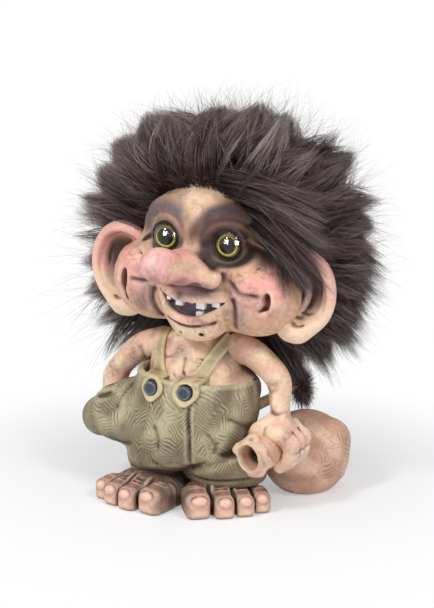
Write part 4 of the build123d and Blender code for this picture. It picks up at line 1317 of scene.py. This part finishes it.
def sight(azimuth, elevation):
    """Two angles in radians, and the direction away from the object that they stand for."""
    turn, rise = math.radians(azimuth), math.radians(elevation)
    away = [math.sin(turn) * math.cos(rise), -math.cos(turn) * math.cos(rise), math.sin(rise)]
    return turn, rise, np.array(away)


def strand_piece(name, paths, widths, shades, finish, *nodes):
    """Thin three-sided tapering tubes along paths, with each hair's shade and length in its map."""
    count, rows = paths.shape[:2]
    along = unit(np.gradient(paths, axis=1), 1e-6)
    side = unit(np.cross(along, [0.31, 0.22, 0.93]), 1e-6)
    rise = np.cross(along, side)
    taper = np.clip(1.02 - np.linspace(0, 1, rows) ** 1.6, 0.06, 1)[None, :, None] * widths[:, None, None]
    corners = [paths + taper * (math.cos(angle) * side + math.sin(angle) * rise)
               for angle in (0, 2 * math.pi / 3, 4 * math.pi / 3)]
    points = np.stack(corners, axis=2).reshape(-1, 3)
    base = (np.arange(count) * rows * 3)[:, None, None]
    row = (np.arange(rows - 1) * 3)[None, :, None]
    turn = np.arange(3)[None, None, :]
    following = (turn + 1) % 3
    faces = np.stack([base + row + turn, base + row + following, base + row + 3 + following,
                      base + row + 3 + turn], axis=-1).reshape(-1, 4)
    piece = mesh_piece(name, points, faces, finish, "brown_fur", *nodes)
    level = np.repeat(np.tile(np.linspace(0.02, 0.98, rows), count), 3)
    shade = np.repeat(shades, rows * 3)
    layer = piece.data.uv_layers.new(name="OFBake")
    corner_point = np.zeros(len(piece.data.loops), np.int32)
    piece.data.loops.foreach_get("vertex_index", corner_point)
    layer.data.foreach_set("uv", np.column_stack([shade, level])[corner_point].astype(np.float32).ravel())


def fur_length(direction):
    """How far the fur reaches from its middle in each direction."""
    tips = np.array(FUR_TIPS, float) - FUR_MIDDLE
    lengths = np.linalg.norm(tips, axis=1)
    weight = np.exp(26 * (direction @ (tips / lengths[:, None]).T - 1))
    return (weight * lengths).sum(1) / weight.sum(1)


def scalp_roots(count, random):
    """Places on the scalp behind the hairline, spread evenly, in the head's frame, and which way is out."""
    index = np.arange(count * 3) + 0.5
    polar = np.arccos(1 - 2 * index / len(index))
    turn = math.pi * (1 + 5 ** 0.5) * index
    out = np.column_stack([np.cos(turn) * np.sin(polar), np.sin(turn) * np.sin(polar), np.cos(polar)])
    out = unit(out + random.normal(scale=0.03, size=out.shape))
    roots = SKULL_AT + out * (SKULL_RADII + 0.8)
    behind = roots[:, 1] > np.interp(roots[:, 2], HAIRLINE_Z, HAIRLINE_Y) + 0.2
    keep = behind & (roots[:, 2] > -26)
    return on_head(roots[keep]), on_head(out[keep]) - HEAD_AT


def gather(tips, random):
    """Ends of clumps drawn together into uneven pointed locks."""
    centres = tips[random.choice(len(tips), LOCKS, replace=False)]
    centres = FUR_MIDDLE + (centres - FUR_MIDDLE) * random.uniform(0.50, 0.84, (LOCKS, 1))
    spikes = np.array(SPIKES, float)
    # An end that lies about as near to one spike as to the next gives way to them
    crowded = nearest(centres, spikes)[1] < 11.0
    centres = np.concatenate([centres[~crowded], spikes])
    group, _ = nearest(tips, centres)
    return tips + (centres[group] - tips) * random.uniform(LOCK_PULL - 0.14, 1.0, (len(tips), 1))


def clumps(roots, tips, lift, each, spreads, random):
    """Hairs from roots to the ends of clumps, each parted into thin wisps with their own ends and shades."""
    count = len(roots)
    clump = np.repeat(np.arange(count), each)
    total = len(clump)
    wisp = clump * WISPS + random.integers(0, WISPS, total)
    size = np.linalg.norm(tips - roots, axis=1, keepdims=True)
    along = ((tips - roots) / size)[clump]
    spread = random.normal(size=(count * WISPS, 3))[wisp] + 0.35 * random.normal(size=(total, 3))
    spread -= (spread * along).sum(1, keepdims=True) * along
    short = -0.38 * random.beta(1.1, 2.0, (count * WISPS, 1))[wisp] - 0.16 * random.beta(1.2, 2.2, (total, 1))
    tip = tips[clump] + spread * spreads[2] + along * short * size[clump]
    stray = random.uniform(size=(total, 1)) < 0.06
    tip = tip + stray * random.normal(scale=4.5, size=(total, 3))
    hump = lift[clump] + spread * spreads[1] + random.normal(scale=0.5, size=(total, 3))
    paths = bend(roots[clump] + spread * spreads[0], hump, tip)
    waver = random.normal(scale=0.2, size=paths.shape)
    paths = paths + waver * np.linspace(0, 1, STRAND_POINTS)[None, :, None]
    shades = random.beta(0.7, 2.0, count * WISPS)[wisp] + 0.10 * random.normal(size=total)
    shades = shades + 0.10 * random.normal(size=count)[clump]
    return paths, np.clip(shades, 0.02, 0.98)


def main_fur(random):
    roots, normal = scalp_roots(CLUMPS, random)
    centre = roots - FUR_MIDDLE
    direction = normal * 0.55 + 0.55 * centre / np.linalg.norm(centre, axis=1, keepdims=True)
    direction += random.normal(scale=0.13, size=direction.shape)
    # Hair beside the face is combed back and out
    front = ease((-direction[:, 1] - 0.1) / 0.6)[:, None]
    direction = unit(direction + front * np.array([0, 0.45, 0]))
    length = fur_length(direction) * random.uniform(0.8, 1.0, len(direction))
    tips = gather(FUR_MIDDLE + direction * length[:, None], random)
    tips[:, 2] = np.maximum(tips[:, 2], LOWEST_LOCK_Z)
    size = np.linalg.norm(tips - roots, axis=1, keepdims=True)
    lift = roots + normal * size * 0.42 + (tips - roots) * 0.15
    return clumps(roots, tips, lift, STRANDS_PER_CLUMP, (2.6, 2.1, 0.8), random)


def whiskers(random):
    """Single long pale hairs that stand out past the locks."""
    root, normal = scalp_roots(WHISKER_PLACES, random)
    direction = unit(root - FUR_MIDDLE) + normal * 0.5
    direction = unit(direction + random.normal(scale=0.22, size=direction.shape))
    direction[:, 1] = np.maximum(direction[:, 1], -0.35)
    length = fur_length(direction)[:, None] * random.uniform(0.95, MOST_REACH, (len(root), 1))
    tip = FUR_MIDDLE + direction * length
    tip[:, 2] = np.maximum(tip[:, 2], LOWEST_WHISKER_Z)
    lift = root + normal * length * 0.35
    return bend(root, lift, tip), random.uniform(0.3, 0.9, len(root))


def temple_fur(random):
    """Locks over the temples and the top of the left ear, and behind and below both ears."""
    paths, shades = [], []
    for roots, tips, lifts, count, each in TEMPLE_LOCKS:
        level = random.uniform(0, len(roots) - 1, count)
        steps = range(len(roots))
        root, tip, lift = (np.column_stack([np.interp(level, steps, column) for column in zip(*rows)])
                           for rows in (roots, tips, lifts))
        tip = tip + random.normal(scale=2.6, size=tip.shape)
        made = clumps(on_head(root), on_head(tip), on_head(lift), each, (1.5, 1.6, 1.0), random)
        paths.append(made[0])
        shades.append(made[1] * 0.8)
    return np.concatenate(paths), np.concatenate(shades)


def fringe(random):
    """Short hairs that soften the edge of the wig all along the hairline."""
    turn = random.uniform(-1, 1, FRINGE_HAIRS)
    height = np.interp(1 - abs(turn), np.linspace(0, 1, 6), [-16, -4, 6, 16, 26, 33.5])
    depth = np.interp(height, HAIRLINE_Z, HAIRLINE_Y) + random.uniform(-0.6, 1.6, len(turn))
    up, back = (height - SKULL_AT[2]) / SKULL_RADII[2], (depth - SKULL_AT[1]) / SKULL_RADII[1]
    width = SKULL_RADII[0] * np.sqrt(np.clip(1 - up ** 2 - back ** 2, 0, 1)) * np.sign(turn)
    root = np.column_stack([width, depth, height])
    normal = unit((root - SKULL_AT) / SKULL_RADII ** 2)
    sway = random.normal(scale=0.35, size=root.shape) + np.array([0.0, -0.15, 0.25])
    sway[:, 0] += 0.5 * np.sign(turn)
    length = random.uniform(3.0, 9.0, (len(turn), 1))
    lift = root + normal * length * 0.5
    tip = root + (normal * 0.7 + sway) * length
    return bend(on_head(root), on_head(lift), on_head(tip)), random.beta(1.1, 4.0, len(turn)) * 0.6


def bend(start, lift, end):
    """Curves from start, leaving along lift, to end."""
    t = np.linspace(0, 1, STRAND_POINTS)[None, :, None]
    start, lift, end = start[:, None], lift[:, None], end[:, None]
    return start * (1 - t) ** 2 + 2 * lift * t * (1 - t) + end * t ** 2


def make_fur(finish):
    random = np.random.default_rng(7)
    made = [main_fur(random), temple_fur(random), fringe(random), whiskers(random)]
    paths, shades = (np.concatenate(parts) for parts in zip(*made))
    keep = clear_of_face(paths)
    away = paths - FUR_MIDDLE
    reach = np.linalg.norm(away, axis=2, keepdims=True)
    most = MOST_REACH * fur_length(away[:, -1] / reach[:, -1])[:, None, None]
    paths = FUR_MIDDLE + away * np.minimum(1, most / np.maximum(reach, 1e-6))
    widths = random.uniform(0.09, 0.17, len(paths))
    whisker_count = len(made[-1][1])
    widths[-whisker_count:] *= 0.55
    for i, part in enumerate(np.array_split(np.nonzero(keep)[0], FUR_PIECES)):
        nodes = ["wig_fur"] if i == 0 else []
        strand_piece(f"wig_fur_{i + 1}", paths[part], widths[part], shades[part], finish, *nodes)


def clear_of_face(paths):
    """Which hairs stay out of the face, the right ear and the floor."""
    x, y, z = off_head(paths)
    face = (y < -14) & (x > -17) & (x < 14.5) & (z < 25)
    ear = (((abs(x) - 36) / 14) ** 2 + ((y + 5) / 7.5) ** 2 + ((z + 9) / 18) ** 2 < 1) & (x < 0)
    return ~(face | ear | (paths[..., 2] < 2)).any(1)


def make_tail_tuft(finish):
    random = np.random.default_rng(17)
    middle = np.array([27.0, 25.6, 37.0])
    out = unit(random.normal(size=(TUFT_HAIRS, 3)) * [0.8, 0.8, 1.0])
    root = middle + out * [1.6, 1.6, 2.4]
    length = random.uniform(0.8, 1.5, (TUFT_HAIRS, 1))
    tip = middle + out * [4.0, 4.0, 7.0] * length + np.array([0.8, 0.4, -1.6])
    tip += random.normal(scale=0.8, size=tip.shape)
    hump = (root + tip) / 2 + random.normal(scale=0.9, size=tip.shape)
    strand_piece("tail_fur", bend(root, hump, tip), random.uniform(0.10, 0.16, TUFT_HAIRS),
                 random.beta(1.3, 3.0, TUFT_HAIRS), finish, "tail_tuft")


def make_backing():
    clay = Clay([-30, -28, -30], [30, 32, 38], 0.6)
    clay.add(egg(SKULL_AT, SKULL_RADII + 0.9))
    clay.cut(egg(SKULL_AT, SKULL_RADII - 0.2))
    clay.keep(lambda x, y, z: np.interp(z, HAIRLINE_Z, HAIRLINE_Y) + 1.0 - y + 0 * x, 0.3)
    skin = clay.surface()
    skin.coat((52, 40, 36))
    skin.mottle(0.15, 111)
    skin.move(on_head)
    made = hand_paint("backing_weave", 0.9, 1500.0, 0.0004, 0.1)
    painted_piece("wig_cloth", skin, made, "backing_cloth", "wig_backing")


PHOTO_WIDTH = 434
CAMERA_AZIMUTH, CAMERA_ELEVATION = 25.0, 14.0
CAMERA_DISTANCE = 620.0
MM_PER_PIXEL = 0.37
CAMERA_TARGET = (2.72, 1.27, 72.2)


def make_camera():
    turn, rise, away = sight(CAMERA_AZIMUTH, CAMERA_ELEVATION)
    data = bpy.data.cameras.new("camera")
    data.sensor_fit = "HORIZONTAL"
    data.sensor_width = 36
    data.lens = data.sensor_width * CAMERA_DISTANCE / (PHOTO_WIDTH * MM_PER_PIXEL)
    data.clip_start = 0.01
    data.clip_end = 20
    camera = linked("camera", data)
    camera.location = (np.array(CAMERA_TARGET) + FIGURE_AT + away * CAMERA_DISTANCE) * MM
    camera.rotation_euler = (math.pi / 2 - rise, 0, turn)
    bpy.context.scene.camera = camera


def lamp(name, azimuth, elevation, distance, size, watts):
    turn, rise, away = sight(azimuth, elevation)
    data = bpy.data.lights.new(name, "AREA")
    data.shape = "SQUARE"
    data.size = size
    data.energy = watts
    made = linked(name, data)
    made.location = away * distance + np.array([0, 0, LAMPS_AIM_AT])
    made.rotation_euler = (math.pi / 2 - rise, 0, turn)
    return made


def background_rays(nodes):
    """1 for rays that see the background, in glass and gloss too, and 0 for those that light the object."""
    kinds = nodes.add("LightPath").outputs
    total = kinds["Is Camera Ray"]
    for kind in ("Is Glossy Ray", "Is Transmission Ray"):
        total = nodes.add("Math", {0: total, 1: kinds[kind]}, operation="MAXIMUM").outputs[0]
    return total


# Name, azimuth, elevation, distance and size in metres, and watts
SOFTBOXES = (("left_softbox", -22, 42, 0.75, 0.13, 2.3), ("right_softbox", 62, 40, 0.75, 0.2, 1.8),
             ("top_softbox", 20, 80, 0.9, 0.5, 0.9))
CATCHLIGHTS = (("left_catchlight", -14, 17, 0.75, 0.36, 11.0), ("right_catchlight", 56, 13, 0.75, 0.36, 11.0))
LAMPS_AIM_AT = 0.08
WHITE = (1.0, 1.0, 1.0, 1)


def catchlights(domes):
    """Two softboxes that show only as highlights in the eyes: each lights nothing but the glass domes."""
    receivers = bpy.data.collections.new("catchlight_receivers")
    for dome in domes:
        receivers.objects.link(dome)
    for softbox in CATCHLIGHTS:
        lamp(*softbox).light_linking.receiver_collection = receivers


def make_stage():
    world = bpy.data.worlds.new("studio")
    nodes = Nodes(world)
    light = nodes.fill(nodes.nodes["Background"], {"Color": (0.97, 0.985, 1.0, 1), "Strength": 0.42})
    white = nodes.add("Background", {"Color": WHITE, "Strength": 1.0})
    mix = nodes.add("MixShader", {"Fac": background_rays(nodes), 1: light.outputs[0], 2: white.outputs[0]})
    nodes.fill(nodes.nodes["World Output"], {"Surface": mix.outputs[0]})
    bpy.context.scene.world = world
    make_floor()
    for softbox in SOFTBOXES:
        lamp(*softbox)
    bpy.context.scene.view_settings.view_transform = "Standard"


def make_floor():
    mesh = bpy.data.meshes.new("floor")
    edge = 4.0
    corners = [(-edge, -edge, 0), (edge, -edge, 0), (edge, edge, 0), (-edge, edge, 0)]
    mesh.from_pydata(corners, [], [(0, 1, 2, 3)])
    made, nodes, shader = material("pale_floor")
    tone = nodes.mixed(nodes.noise(3.0, 2.0), (0.93, 0.945, 0.965, 1), (0.955, 0.965, 0.98, 1))
    nodes.fill(shader, {"Base Color": tone, "Roughness": 0.7, "Specular IOR Level": 0.2})
    # Away from the object the floor turns into the white backdrop
    place = nodes.add("TexCoord").outputs["Object"]
    away = nodes.add("VectorMath", {0: place}, operation="LENGTH").outputs["Value"]
    fade = nodes.add("MapRange", {"From Min": 0.05, "From Max": 0.15, "To Min": 0.35, "Value": away},
                     interpolation_type="SMOOTHSTEP").outputs["Result"]
    share = nodes.add("Math", {0: fade, 1: background_rays(nodes)}, operation="MULTIPLY").outputs[0]
    white = nodes.add("Emission", {"Color": WHITE, "Strength": 1.0})
    mix = nodes.add("MixShader", {"Fac": share, 1: shader.outputs[0], 2: white.outputs[0]})
    nodes.fill(nodes.nodes["Material Output"], {"Surface": mix.outputs[0]})
    mesh.materials.append(made)
    linked("floor", mesh)


make_camera()
make_stage()
make_head()
make_ears()
make_eyes()
make_teeth()
make_torso()
make_right_arm()
make_left_arm()
make_trousers()
make_straps()
make_feet()
make_sack()
make_tail()
make_backing()
FUR = fur_finish()
make_fur(FUR)
make_tail_tuft(FUR)
